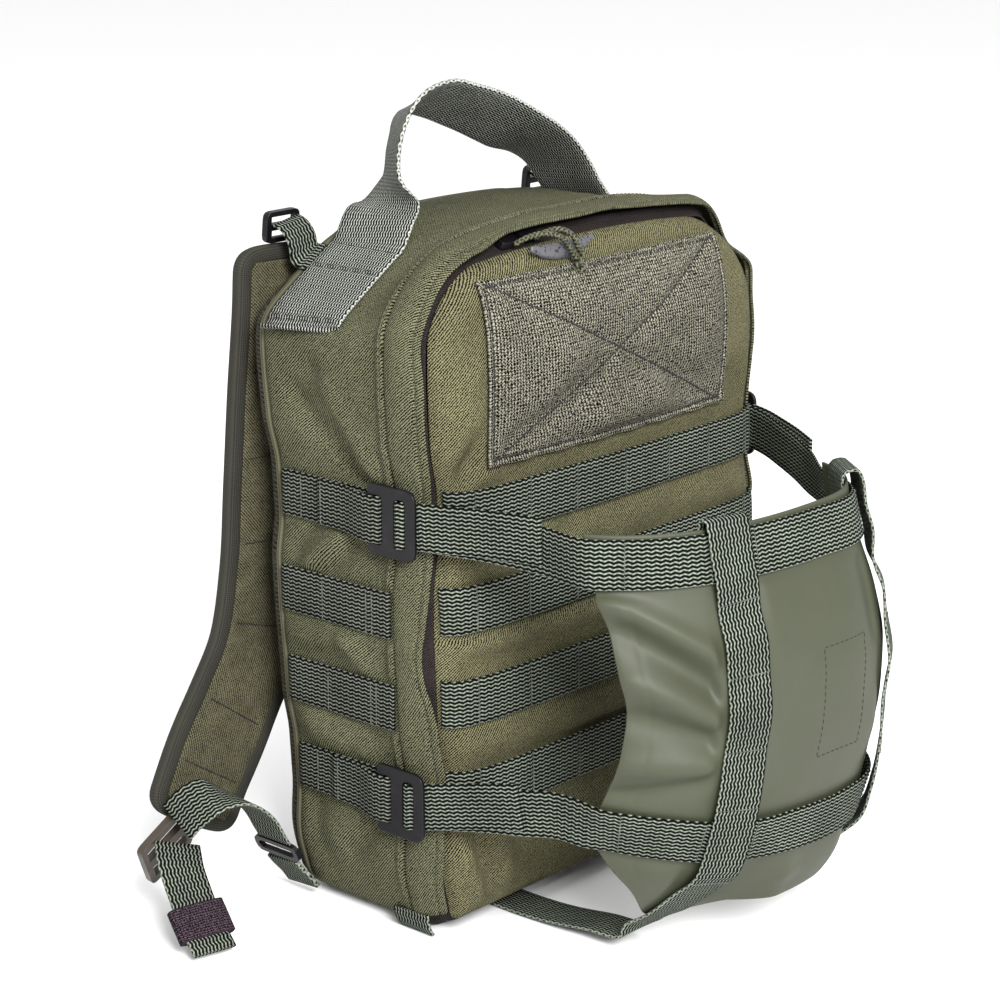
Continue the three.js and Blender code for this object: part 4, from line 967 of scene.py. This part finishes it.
def front_relief(x, z):
    bare = clear_of(z, FRONT_WEBS["level"], 11, 17)
    loop = step(np.abs(x - LOOP_CENTRE), LOOP_HALF - 2, LOOP_HALF + 6)
    loop = np.maximum(loop, step(z, LOOP_HIGH, LOOP_HIGH + 6))
    loop = np.maximum(loop, step(z, LOOP_LOW, LOOP_LOW - 6))
    seam = -1.4 * dip(z - SEAM_GROOVE, 1.6) + dip(z - SEAM_RIDGE, 3)
    return bare * loop * (relief(FRONT_FOLDS, x, z) * 2 + ripple(x, z, 36, 9) * 0.6) + seam


def front_cloth():
    x, z = panel_places(FRONT_INSET, FRONT_LEFT_RADIUS, 170, 200)
    deep = step(inset_at(x, z), 10, 26)
    y = front_at(x, z) - front_relief(x, z) * deep
    points = np.stack([x, y, z], axis=-1)
    cloth = np.stack([laid_flat(points), z], axis=-1)
    sheet_of("front_cloth", points, cloth, 2, towards(FRONTWARD), FRONT_CLOTH_PAINTED_LIGHTER, ["front_panel"])
    seam_x = np.linspace(-SEAM_HALF, SEAM_HALF, 120)
    for height in SEAM_ROWS:
        row_z = np.full_like(seam_x, height)
        row = np.stack([seam_x, front_at(seam_x, row_z) - front_relief(seam_x, row_z), row_z], axis=1)
        sew(THREAD, row, FRONTWARD, SEAM_STITCH)


def storm_flap():
    places = outline(2.6)
    places = places[places[:, 1] > 13]
    places = places[np.argsort(np.arctan2(places[:, 0], places[:, 1] - MIDDLE))]
    apart = np.linalg.norm(np.diff(places[:, :2], axis=0, append=places[:1, :2]), axis=1)
    gap_at = np.argmax(apart)
    places = np.roll(places, -(gap_at + 1), axis=0)
    if places[0, 0] > 0:
        places = places[::-1]
    run = along(places[:, :2])
    share_along = run / run[-1]
    uneven = 0.7 * np.sin(share_along * 61) + 0.5 * np.sin(share_along * 137 + 1)
    reach = read(FLAP_FORM, "along", share_along, "reach") + uneven
    lift = read(FLAP_FORM, "along", share_along, "lift")
    shares = np.array([0.02, 0.06, 0.12, 0.25, 0.4, 0.55, 0.66, 0.74,
                       0.78, 0.8, 0.82, 0.85, 0.92, 0.96, 0.985, 1.0])
    points = []
    for share in shares:
        inset = np.interp(share, FLAP_BEND["share"], FLAP_BEND["inset"])
        hem = 0.6 * step(share, 0.8, 0.88) - 1.1 * dip(share - 0.8, 0.022)
        y = FLAP_SEAM + (reach - FLAP_SEAM) * share
        tucked = -1.7 * (1 - step(share, 0.02, 0.12))
        wavy = 0.5 * np.sin(share_along * 83 + share * 3) * share
        deep = inset - FLAP_CLEAR - lift * share ** 2 - FLAP_THICK - hem - tucked
        points.append(body_points(places, y, deep - np.maximum(wavy, -0.3)))
    points = np.stack(points)
    cloth = grid_of(run, 26 * shares[:, None] - FLAP_SEAM)
    sheet_of("storm_flap_cloth", points, cloth, FLAP_THICK, from_axis, CLOTH, ["storm_flap"])
    sew(THREAD, points[9], normals_of(points, from_axis)[9], FLAP_STITCH)


def zip_tape():
    places = outline(2.6)
    shares = np.linspace(0, 1, 15)
    points = []
    for share in shares:
        y = GUSSET_SEAM - GAP + (FRONT_RIM - GUSSET_SEAM + 2 * GAP) * share
        coil = 1.1 * dip(share - 0.55, 0.09)
        points.append(body_points(places, y, 0.5 + (9.2 - 0.5) * share - coil))
    points = np.stack(points)
    run = along(np.concatenate([places, places[:1]])[:, :2])
    cloth = grid_of(run, 18 * shares[:, None])
    sheet_of("zip_tape", points, cloth, 1.0, from_axis, ZIP_TAPE_PAINTED_SHADE, ["zip_track"], True)


def loop_field():
    across, up = np.linspace(-LOOP_HALF, LOOP_HALF, 130), np.linspace(LOOP_LOW, LOOP_HIGH, 68)
    flat_x, z = np.meshgrid(across, up)
    level, rise = (LOOP_LOW + LOOP_HIGH) / 2, (LOOP_HIGH - LOOP_LOW) / 2
    s, t = flat_x / LOOP_HALF, (z - level) / rise
    x = flat_x + LOOP_CENTRE + 4 * np.maximum(s, 0) * (1 - t * t)
    edge = np.minimum(1 - np.abs(s), (1 - np.abs(t)) * 0.5) * LOOP_HALF
    cross = np.minimum(np.abs(s - t), np.abs(s + t)) * LOOP_HALF * 0.45
    sewn = 1.5 * dip(cross, 2.2) * (edge > 3) + dip(edge - 3.2, 1.1)
    puff = 1.8 * step(cross, 0, 18) * step(edge, 2, 16) + 1.5 * relief(LOOP_FOLDS, x, z) * step(edge, 1, 9)
    curl = 1.3 * dip(edge, 2.0) * np.sin(x * 0.11 + 1) ** 2 * (t < -0.9)
    y = front_at(x, z) - LOOP_SEAT - 1.8 - np.maximum(puff - sewn + curl, -1.4)
    points = np.stack([x, y, z], axis=-1)
    cloth = np.stack([flat_x + 200, z], axis=-1)
    sheet_of("loop_field", points, cloth, 1.6, towards(FRONTWARD), LOOP, ["loop_panel"])

    def row_on(s_line, t_line):
        zs = level + t_line * rise
        i = (t_line + 1) / 2 * (len(up) - 1)
        j = (s_line + 1) / 2 * (len(across) - 1)
        xs = s_line * LOOP_HALF + LOOP_CENTRE + 4 * np.maximum(s_line, 0) * (1 - t_line ** 2)
        ys = y[np.round(i).astype(int), np.round(j).astype(int)]
        return np.stack([xs, ys, zs], axis=1)

    run = np.linspace(-0.965, 0.965, 120)
    level_row, side_row = np.full(120, 0.93), np.full(120, 0.965)
    for s_line, t_line in ((run, run), (run, -run), (run, level_row), (run, -level_row),
                           (side_row, run * 0.96), (-side_row, run * 0.96)):
        sew(DARK_THREAD, row_on(s_line, t_line), FRONTWARD, LOOP_STITCH)


def front_webs():
    for k, (level, seat, half) in enumerate(zip(*FRONT_WEBS.values())):
        across = crowded(150, 1.25) * half
        up = np.linspace(-WEB[0] / 2, WEB[0] / 2, 9)
        x, rise = np.meshgrid(across, up)
        z = level + rise
        tack = dip((x + TACK_SPACING / 2) % TACK_SPACING - TACK_SPACING / 2, 2.2)
        crown = 0.25 * (1 - (rise / (WEB[0] / 2)) ** 2)
        y = front_at(x, z) - seat - WEB[1] - crown - 0.5 * (1 - tack)
        points = np.stack([x, y, z], axis=-1)
        cloth = grid_of(along(points[4]), rise)
        sheet_of(f"front_webbing_{k + 1}", points, cloth, WEB[1], towards(FRONTWARD), WEBBING,
                 [f"front_web_{k + 1}"])
        for tack_x in np.arange(-TACKED_HALF, TACKED_HALF + 1, TACK_SPACING):
            j = int(np.argmin(np.abs(across - tack_x)))
            row = points[:, j] + [0, -0.1, 0]
            sew(PALE_THREAD, row, FRONTWARD, TACK_STITCH)


def back_panel():
    x, z = panel_places(BACK_EDGE, TOP_RADIUS, 130, 150)
    inset = inset_at(x, z, TOP_RADIUS)
    y = read(BACK_FORM, "inset", inset, "y")
    channel = np.minimum.reduce([np.abs(np.abs(x) - CHANNEL_X)] + [np.abs(z - level) for level in CHANNEL_Z])
    groove = dip(inset - CHANNEL_INSET, 1.5) + dip(channel, 1.8) * step(inset, 16, 20)
    puff = 1.2 * step(channel, 0, 16) * step(inset, CHANNEL_INSET, 32)
    y = y + puff - 2.6 * groove - 0.6 * step(inset, 10, 20)
    fallen = z - back_fall(y, z)
    press = corner_press(x, fallen, y, inset)
    inward = np.sign(x) * PLANE_ACROSS * press
    points = np.stack([x - inward, leaned(y, z), fallen - PLANE_UP * press], axis=-1)
    cloth = np.stack([x + 900, z], axis=-1)
    piece = sheet_of("back_padding", points, cloth, 3, towards((0, 1, 0)), BACK_CLOTH, ["back_pad"])


def back_piping():
    places = outline(3.0)
    spots = body_points(places, BACK_SEAM - 0.4, 2.1)
    closed = np.concatenate([spots[-1:], spots, spots[:1]])
    forward = unit(np.gradient(closed, axis=0))[1:-1]
    side = np.tile([0.0, 1.0, 0.0], (len(spots), 1))
    line = {"centre": spots, "across": side, "face": np.cross(forward, side), "run": along(spots)}
    swept("back_piping", line, round_section(1.9, 10), PIPING, loop=True)


# Webbing on the sides
def side_rows(level, spots, sign):
    side = float(half_at(level))
    return [(sign * (-side - off), float(leaned(y, level)), level, 0, 0, 1) for y, off in spots]


def tack_row(line, at, thread=PALE_THREAD, size=WEB, off=0.0, outward=1):
    i = int(np.argmin(np.abs(line["run"] - at)))
    shares = np.linspace(-0.47, 0.47, 12)
    row = line["centre"][i] + line["across"][i] * (shares * size[0])[:, None] \
        + line["face"][i] * (outward * (size[1] / 2 + off))
    sew(thread, row, line["face"][i] * outward, TACK_STITCH)


def side_webbing(sign, side):
    for name, level in (("side_web_upper", SIDE_LEVELS[1]), ("side_web_lower", SIDE_LEVELS[2])):
        spots = [(SIDE_BACK, SIDE_SEAT), (30, SIDE_SEAT + 0.4), (10, SIDE_SEAT), (-10, SIDE_SEAT + 0.5),
                 (-24, SIDE_SEAT + 0.3), (FLAP_SEAM + 1, SIDE_SEAT + 0.1)]
        rows = side_rows(level, spots, sign)
        line = ribbon(f"{name}_cloth_{side}", rows, WEB, SIDE_WEBBING, [f"{name}_{side}"])
        outward = turn_to(line, 3, (-sign, 0, 0))
        for at in SIDE_TACKS:
            tack_row(line, at, outward=outward)
    for name, level in (("hook_strap_upper", SIDE_LEVELS[0]), ("hook_strap_lower", SIDE_LEVELS[3])):
        over = FLAP_CLEAR + FLAP_THICK + GAP + WEB[1] / 2
        outside = HOOK_OFFSET + HOOK_THICK / 2 + GAP + WEB[1] / 2
        hook_back = HOOK_Y + HOOK_WIDE / 2
        turn = hook_back - HOOK_BAR - 3
        doubled = SIDE_SEAT + WEB[1] + GAP
        spots = [(SIDE_BACK, SIDE_SEAT), (20, SIDE_SEAT), (-18, SIDE_SEAT), (-25, over - 0.4),
                 (turn + 3, over + 0.2), (turn - 0.4, over + 0.9), (turn - 1.8, (over + outside) / 2),
                 (turn - 0.4, outside - 0.9), (turn + 3, outside - 0.1), (hook_back + 3, outside - 0.2),
                 (-10, doubled + 1.2), (0, doubled), (12, doubled)]
        rows = side_rows(level, spots, sign)
        line = ribbon(f"{name}_cloth_{side}", rows, WEB, SIDE_WEBBING, [f"{name}_{side}"])
        outward = turn_to(line, 3, (-sign, 0, 0))
        tack_row(line, 14, outward=outward)
        tack_row(line, line["run"][-1] - 3, outward=-outward)


# Beavertail
def strap_half(end_level, level, run, doubled_rows):
    """One end of a sling strap: under the hook's front bar, up through its slot and back."""
    over = FLAP_CLEAR + FLAP_THICK + GAP + WEB[1] / 2
    second = over + WEB[1] + GAP
    hook_y = float(leaned(HOOK_Y, level))
    start_y = hook_y - HOOK_WIDE / 2 + HOOK_BAR + 4
    side = -float(half_at(level))
    longest = STRAP_RUN["forward"][-1]

    def row(x, y):
        share = min(1, max(0, (start_y - y) / longest))
        return (x, y, level + (end_level - level) * share, 0, 0, 1)

    outer = []
    for k in reversed(range(1, doubled_rows)):
        forward = STRAP_RUN["forward"][k]
        x, y, z, *up = row(side - second + STRAP_RUN[run][k], start_y - forward)
        outer.append((x, y, z + FREE_END_RISE * forward / longest, *up))
    turn = [row(side - second - off, hook_y - forward) for forward, off in zip(*HOOK_TURN.values())]
    turn += [row(side - over - off, hook_y - forward) for forward, off in ((3.4, 1.2), (6, 0.1))]
    inner = [row(side - over + STRAP_RUN[run][k], start_y - forward)
             for k, forward in enumerate(STRAP_RUN["forward"])]
    return outer + turn + inner


def tail_strap(name, level, doubled_rows):
    levels = TAIL_LEVELS[name]
    seat = TAIL_THICK + 4.4 * GAP + WEB[1] / 2

    def on_panel(x):
        z = np.interp(x, levels["x"], levels["z"])
        spot = tail_point(x, z, seat)
        up = unit(tail_point(x, z + WEB[0] / 2, seat) - tail_point(x, z - WEB[0] / 2, seat))
        return tuple(spot) + tuple(up)

    shares = np.linspace(1, 0, 7)[:-1]
    left = strap_half(levels["z"][0], level, f"{name}_left", doubled_rows)
    right = flipped(strap_half(levels["z"][-1], level, f"{name}_right", doubled_rows))
    right[:, 3:] = [0, 0, 1]
    middle = [on_panel(levels["x"][0] * panel_share(s)) for s in shares] + [on_panel(0.0)] \
        + [on_panel(levels["x"][-1] * panel_share(s)) for s in shares[::-1]]
    rows = np.vstack([left, middle, right[::-1]])
    line = ribbon(f"sling_strap_{name}", rows, WEB, WEBBING, [f"tail_strap_{name}"])
    outward = turn_to(line, len(line["face"]) // 2, FRONTWARD)
    for x, y in TAIL_STRAP_TACKS:
        i = int(np.argmin(np.hypot(line["centre"][:, 0] - x, line["centre"][:, 1] - y)))
        tack_row(line, line["run"][i], outward=outward)


def tail_web(side, clear):
    x = TAIL_WEB_X[side]

    def lie(z, off, lift):
        off = off - clear if off < 0 else off + clear
        spot = tail_point(x, z, off) + [0, 0, lift]
        across = unit(tail_point(x + WEB[0] / 2, z, off) - tail_point(x - WEB[0] / 2, z, off))
        return tuple(spot) + tuple(across)

    fold = [lie(*row) for row in zip(*TAIL_WEB_FOLD.values())]
    down = [lie(z, off, 0) for z, off in zip(*TAIL_WEB_FORM.values())]
    under = [(x, y, z, 1, 0, 0) for y, z in zip(*TAIL_WEB_UNDER.values())]
    rows = fold + down + under
    line = ribbon(f"sling_web_{side}", rows, WEB, WEBBING, [f"tail_web_{side}"])
    outward = turn_to(line, int(np.argmin(line["centre"][:, 1])), FRONTWARD)
    for height in TAIL_WEB_TACKS:
        onward = np.where(line["run"] > 40, np.abs(line["centre"][:, 2] - height), 999)
        tack_row(line, line["run"][int(np.argmin(onward))], outward=outward)


def tail_sheet():
    lower, upper = np.linspace(TAIL_LOW, TAIL_TURN, 26), np.linspace(TAIL_TURN + 1.5, TAIL_TOP, 120)
    heights = np.concatenate([lower, upper])
    shares = np.linspace(-1, 1, 170)
    left = read(TAIL_FORM, "z", heights, "left_edge")[:, None]
    right = read(TAIL_FORM, "z", heights, "right_edge")[:, None]
    x = panel_share(shares)[None, :] * np.where(shares[None, :] < 0, left, right)
    z = heights[:, None] * np.ones_like(x)
    rise = HEM_RISE * (1 - step(-x, HEM_FROM, HEM_TO))
    lifted = z + rise * np.clip((HEM_BELOW - z) / HEM_DEPTH, 0, 1)
    straps = [np.interp(x, rows["x"], rows["z"]) for rows in TAIL_LEVELS.values()]
    bare = clear_of(z, straps, 12, 20) * clear_of(x, TAIL_WEB_X.values(), 12, 18)
    soft = relief(TAIL_FOLDS, x, z) + 0.5 * ripple(x, z, 46, 21)
    edge = np.minimum((1 - np.abs(panel_share(shares)))[None, :] * 100, TAIL_TOP - z)
    hem = 0.35 * step(edge, 0.3, 1.0) - 0.5 * dip(edge - 6, 0.8)
    points = tail_point(x, lifted, TAIL_THICK + soft * bare + hem * bare * 0.6)
    cloth = grid_of(along(points[70]), z)
    piece = sheet_of("sling_panel", points, cloth, TAIL_THICK, towards(FRONTWARD), COATED,
                     ["tail_panel"])
    normal = normals_of(points, towards(FRONTWARD))

    def row_on(xs, zs):
        rows, sides = [], []
        for px, pz in zip(xs, zs):
            i = int(np.argmin(np.abs(heights - pz)))
            j = int(np.argmin(np.abs(x[i] - px)))
            rows.append(points[i, j])
            sides.append(normal[i, j])
        return np.array(rows), np.array(sides)

    across, up = np.linspace(*BOX_X, 20), np.linspace(*BOX_Z, 32)
    level_rows = [(across, np.full(20, level)) for level in BOX_Z]
    upright_rows = [(np.full(32, place), up) for place in BOX_X]
    for xs, zs in level_rows + upright_rows:
        sew(DARK_THREAD, *row_on(xs, zs), BOX_STITCH)


# Handle and shoulder straps
def carry_handle():
    seat = GAP + GRIP_WEB[1] / 2 + 0.3
    places = outline(6.0)
    upper = places[places[:, 1] >= HEIGHT - TOP_RADIUS - 1]
    low = (float(half_at(HANDLE_LOW)) + seat, float(leaned(HANDLE_Y, HANDLE_LOW)), HANDLE_LOW, 0, 1, 0)
    ends = []
    for sign in (-1, 1):
        corner = upper[sign * upper[:, 0] > HALF - TOP_RADIUS - 6]
        ends.append([(x, y, z, 0, 1, 0) for x, y, z in body_points(corner, HANDLE_Y, -seat)])
    arch = np.stack(list(HANDLE_FORM.values()), axis=1)
    line = stations(np.vstack([[(-low[0],) + low[1:]], ends[0], arch, ends[1], [low]]))
    swept("carry_handle_cloth", line, web_section(GRIP_WEB, 10), GRIP_WEBBING, ["carry_handle"])
    outward = turn_to(line, 3, (-1, 0, 0))
    for at in HANDLE_TACKS:
        for end in (at, line["run"][-1] - at):
            tack_row(line, end, DARK_THREAD, GRIP_WEB, -0.25, outward)


def shoulder_strap(sign, side):
    rows = [(x * sign, y, z, 1, 0, 0) for x, y, z in zip(*PAD_FORM.values())]
    spacing = 2.5
    line = stations(rows, spacing)
    inner = PAD_WIDTH - 2 * PAD_BINDING - 2 * GAP + 3
    total = line["run"][-1]

    def swell(run, across):
        quilt = np.minimum.reduce([np.abs(run - at) for at in QUILT_ROWS])
        edge = step(np.abs(across), inner / 2, inner / 2 - 10)
        ends = step(run, 0, 12) * step(run, total, total - 12)
        slack = np.sin((run + 0.9 * across) / 6.5 + 2.2 * np.sin(run / 29)) * np.sin(run / 23 + 0.6) ** 2
        puffed = 1.3 * (step(quilt, 0, 13) - 1) + 0.55 * slack
        return puffed * edge * ends + 0.4 * ripple(run, across, 30, 4)

    section = oval_section(inner, PAD_THICK - 0.6, 5.0, 40)
    pad = swept(f"strap_padding_{side}", line, section, SHADE_CLOTH, [f"shoulder_pad_{side}"], swell)
    rear = turn_to(line, 5, (0, 1, 0))
    for at in QUILT_ROWS:
        for turn in (rear, -rear):
            tack_row(line, at, DARK_THREAD, (inner - 8, PAD_THICK - 2.6), 0.1, turn)
    reach = PAD_WIDTH / 2 - PAD_BINDING / 2
    centre, across, face = line["centre"], line["across"], line["face"]
    forward = np.cross(across, face)

    def turned(i, sign_along):
        spots, outs = [], []
        for degrees in np.linspace(0, 180, 25):
            angle = math.radians(degrees)
            c, s = math.cos(angle), math.sin(angle)
            flat = (np.sign(c) * abs(c) ** 0.45, abs(s) ** 0.45)
            spots.append(centre[i] - across[i] * reach * flat[0] * sign_along
                         + forward[i] * sign_along * (flat[1] * PAD_CORNER - PAD_CORNER + 3.6))
            outs.append(unit(-across[i] * c * sign_along + forward[i] * s * sign_along))
        return spots, outs

    skip = int(round(PAD_CORNER / spacing))
    body = slice(skip, len(centre) - skip)
    middle, aside = centre[body], across[body]
    end_spots, end_outs = turned(len(centre) - 1, 1)
    start_spots, start_outs = turned(0, -1)
    spots = np.vstack([middle - aside * reach, end_spots, (middle + aside * reach)[::-1], start_spots])
    outs = np.vstack([-aside, end_outs, aside[::-1], start_outs])
    loop = carried(spots, outs, closed=True)
    section = oval_section(PAD_BINDING + 3.0, PAD_THICK * 0.86, 3.4, 18)
    swept(f"strap_binding_{side}", loop, section, BINDING, [f"pad_binding_{side}"], loop=True)


def strap_ends(sign, side):
    def turned(rows):
        return rows if sign > 0 else flipped(rows)

    ribbon(f"strap_webbing_{side}", turned(STRAP_WEB_FORM), WEB, WEBBING, [f"strap_web_{side}"])
    ribbon(f"strap_tail_cloth_{side}", turned(STRAP_TAIL_FORM), THICK_WEB, WEBBING, [f"strap_tail_{side}"])
    ribbon(f"anchor_webbing_{side}", turned(ANCHOR_FORM), THICK_WEB, WEBBING, [f"anchor_web_{side}"])
    ribbon(f"lifter_webbing_{side}", turned(LIFTER_FORM), NARROW_WEB, WEBBING, [f"lifter_web_{side}"])
    section = oval_section(32, 9, 3.4, 36)
    keeper = stations(turned(KEEPER_FORM), 1.0)
    swept(f"keeper_band_{side}", keeper, section, KEEPER, [f"strap_keeper_{side}"])


def base_loop(sign, side):
    z = np.linspace(BASE_LOOP_LOW, BASE_LOOP_HIGH, 8)
    turned_in = BASE_RADIUS - np.sqrt(BASE_RADIUS ** 2 - (BASE_RADIUS - z) ** 2)
    x = -sign * (half_at(BASE_LOOP_HIGH) + SIDE_SEAT - 0.5 * turned_in)
    y = leaned(BASE_LOOP_Y + 0 * z, z)
    rows = np.stack([x, y, z, 0 * z, 1 + 0 * z, 0 * z], axis=1)
    line = stations(rows, 1.5)
    swept(f"base_webbing_{side}", line, web_section(WEB), WEBBING, [f"base_loop_{side}"])


def rounded(corners, parts=6):
    """A closed outline through corners of (u, v, radius)."""
    spots = np.array(corners, float)
    out = []
    for before, here, after in zip(np.roll(spots, 1, axis=0), spots, np.roll(spots, -1, axis=0)):
        start = here[:2] + unit(before[:2] - here[:2]) * here[2]
        stop = here[:2] + unit(after[:2] - here[:2]) * here[2]
        for t in np.linspace(0, 1, parts):
            out.append((1 - t) ** 2 * start + 2 * t * (1 - t) * here[:2] + t * t * stop)
    return np.array(out)


def hook_plate(node, name, level, sign):
    """A flat hook: an open slot towards the back and a closed one towards the front."""
    wide, high, slot, edge = HOOK_WIDE / 2, HOOK_HIGH / 2, HOOK_SLOT, HOOK_ROUNDING
    outside = rounded((
        (-wide, high, 3), (wide, high, 7), (wide, -high, 7), (-wide, -high, 4), (-wide, -slot, 1.5),
        (-6.5, -slot, 2), (-6.5, slot, 2.5), (HOOK_BAR - wide, slot, 2.5), (HOOK_BAR - wide, -9, 1.2),
        (-wide, -9, 1.5)))
    inside = rounded(((2, slot, 2.5), (9.5, slot, 2.5), (9.5, -slot, 2.5), (2, -slot, 2.5)))
    curve = bpy.data.curves.new(name, "CURVE")
    curve.dimensions = "2D"
    curve.fill_mode = "BOTH"
    curve.extrude = HOOK_THICK / 2 - edge
    curve.bevel_depth = edge
    curve.bevel_resolution = 2
    curve.offset = -edge
    for spots in (outside, inside):
        spline = curve.splines.new("POLY")
        spline.points.add(len(spots) - 1)
        spline.use_cyclic_u = True
        for point, (u, v) in zip(spline.points, spots):
            point.co = (u, v, 0, 1)
    pattern = bpy.data.objects.new(name, curve)
    mesh = bpy.data.meshes.new_from_object(pattern)
    bpy.data.objects.remove(pattern)
    bpy.data.curves.remove(curve)
    off, y = float(half_at(level)) + HOOK_OFFSET, float(leaned(HOOK_Y, level))
    mesh.transform(Matrix(((0, 0, -sign * MM, -sign * off * MM), (-MM, 0, 0, y * MM), (0, MM, 0, level * MM),
                           (0, 0, 0, 1))))
    if sign < 0:
        mesh.flip_normals()
    placed(name, mesh, METAL, [node])


def copied(node, name, material, bevel):
    """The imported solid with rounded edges."""
    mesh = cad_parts[node].data.copy()
    mesh.name = name
    spots = np.array([mesh.vertices[loop.vertex_index].co for loop in mesh.loops]) / MM
    mesh.uv_layers.new(name="cloth").data.foreach_set("uv", spots[:, 1::-1].astype(np.float32).ravel())
    piece = placed(name, mesh, material, [node])
    weld = piece.modifiers.new("weld", "WELD")
    weld.merge_threshold = 0.00002
    edges = piece.modifiers.new("edges", "BEVEL")
    edges.width = bevel * MM
    edges.segments = 3
    edges.limit_method = "ANGLE"
    edges.angle_limit = math.radians(40)


def fittings():
    for side in ("left", "right"):
        sign = 1 if side == "left" else -1
        for part, level in (("upper", SIDE_LEVELS[0]), ("lower", SIDE_LEVELS[3])):
            hook_plate(f"hook_{part}_{side}", f"hook_{part}_plate_{side}", level, sign)
        copied(f"anchor_ring_{side}", f"anchor_loop_{side}", METAL, 1.0)
        copied(f"strap_lock_{side}", f"strap_buckle_{side}", PLASTIC, 0.9)
        copied(f"lifter_lock_{side}", f"lifter_buckle_{side}", METAL, 0.8)
    for name in ("a", "b"):
        copied(f"zip_slider_{name}", f"zip_pull_{name}", METAL, 0.8)


def zip_cords():
    for name, rows in (("a", CORD_A), ("b", CORD_B)):
        line = through(np.stack(list(rows.values()), axis=1), 10)
        places = carried(line, np.array([0.3, 0.2, 1.0]))
        section = round_section(CORD_RADIUS, 12)
        piece = swept(f"zip_cord_{name}_braid", places, section, CORD, [f"zip_cord_{name}"])


def zip_grip():
    """The pull's cover: a flat lens that sags a little between its ends."""
    share = np.linspace(-1, 1, 15)
    x, y, z = GRIP_CENTRE
    rows = [(x + GRIP_HALF * s, y, z - GRIP_SAG * (1 - s ** 2), 0, 0, 1) for s in share]
    line = stations(rows, 1.0)
    along_share = 2 * line["run"] / line["run"][-1] - 1
    swept("grip_cover", line, oval_section(9.5, 5, 2.2, 24), GRIP, ["zip_grip"],
          taper=1 - 0.72 * np.abs(along_share) ** 1.8)
    turn = np.linspace(0, 2 * math.pi, 40, endpoint=False)
    knot = np.stack([np.cos(turn), np.sin(2 * turn), np.sin(turn)], axis=1) * KNOT_SIZE + KNOT_CENTRE
    heading = unit(np.roll(knot, -1, axis=0) - np.roll(knot, 1, axis=0))
    side = unit(np.cross(heading, [0.2, 1.0, 0.1]))
    swept("zip_knot", {"centre": knot, "across": side, "face": np.cross(heading, side), "run": along(knot)},
          round_section(1.7, 10), CORD, loop=True)


# Camera, light and floor
def stage():
    azimuth, elevation = math.radians(CAMERA["azimuth"]), math.radians(CAMERA["elevation"])
    back = Vector((math.sin(azimuth) * math.cos(elevation), -math.cos(azimuth) * math.cos(elevation),
                   math.sin(elevation)))
    target = Vector(CAMERA["target"]) * MM
    data = bpy.data.cameras.new("camera")
    data.lens = CAMERA["lens"]
    data.sensor_width = 36
    data.clip_end = 50
    camera = linked("camera", data)
    camera.location = target + back * CAMERA["distance"] * MM
    camera.rotation_euler = (-back).to_track_quat("-Z", "Y").to_euler()
    bpy.context.scene.camera = camera

    mesh = bpy.data.meshes.new("floor")
    corners = [(x * FLOOR_HALF, y * FLOOR_HALF, 0) for x, y in ((-1, -1), (1, -1), (1, 1), (-1, 1))]
    mesh.from_pydata(corners, [], [(0, 1, 2, 3)])
    floor = linked("floor", mesh)
    white = bpy.data.materials.new("floor")
    white.use_nodes = True
    shader = white.node_tree.nodes["Principled BSDF"]
    shader.inputs["Base Color"].default_value = (0.9, 0.9, 0.9, 1)
    shader.inputs["Roughness"].default_value = 0.6
    mesh.materials.append(white)
    floor.location.z = -FLOOR_DROP

    world = bpy.data.worlds.new("studio")
    bpy.context.scene.world = world
    world.use_nodes = True
    sky = world.node_tree.nodes["Background"]
    sky.inputs["Color"].default_value = (1, 1, 1, 1)
    sky.inputs["Strength"].default_value = 1.0
    for name, spot, size, power in LIGHTS:
        light = bpy.data.lights.new(name, "AREA")
        light.energy = power
        light.size = size
        lamp = linked(name, light)
        lamp.location = spot
        lamp.rotation_euler = (target - lamp.location).to_track_quat("-Z", "Y").to_euler()
    bpy.context.scene.view_settings.view_transform = "Standard"


stage()
zip_cords()
side_cloth()
front_cloth()
storm_flap()
zip_tape()
loop_field()
front_webs()
back_panel()
back_piping()
tail_sheet()
tail_strap("upper", SIDE_LEVELS[0], 6)
tail_strap("lower", SIDE_LEVELS[3], 5)
tail_web("left", 0)
tail_web("right", 1.2)
carry_handle()
for sign, side in ((1, "left"), (-1, "right")):
    side_webbing(sign, side)
    shoulder_strap(sign, side)
    strap_ends(sign, side)
    base_loop(sign, side)
fittings()
zip_grip()
stitch_pieces()
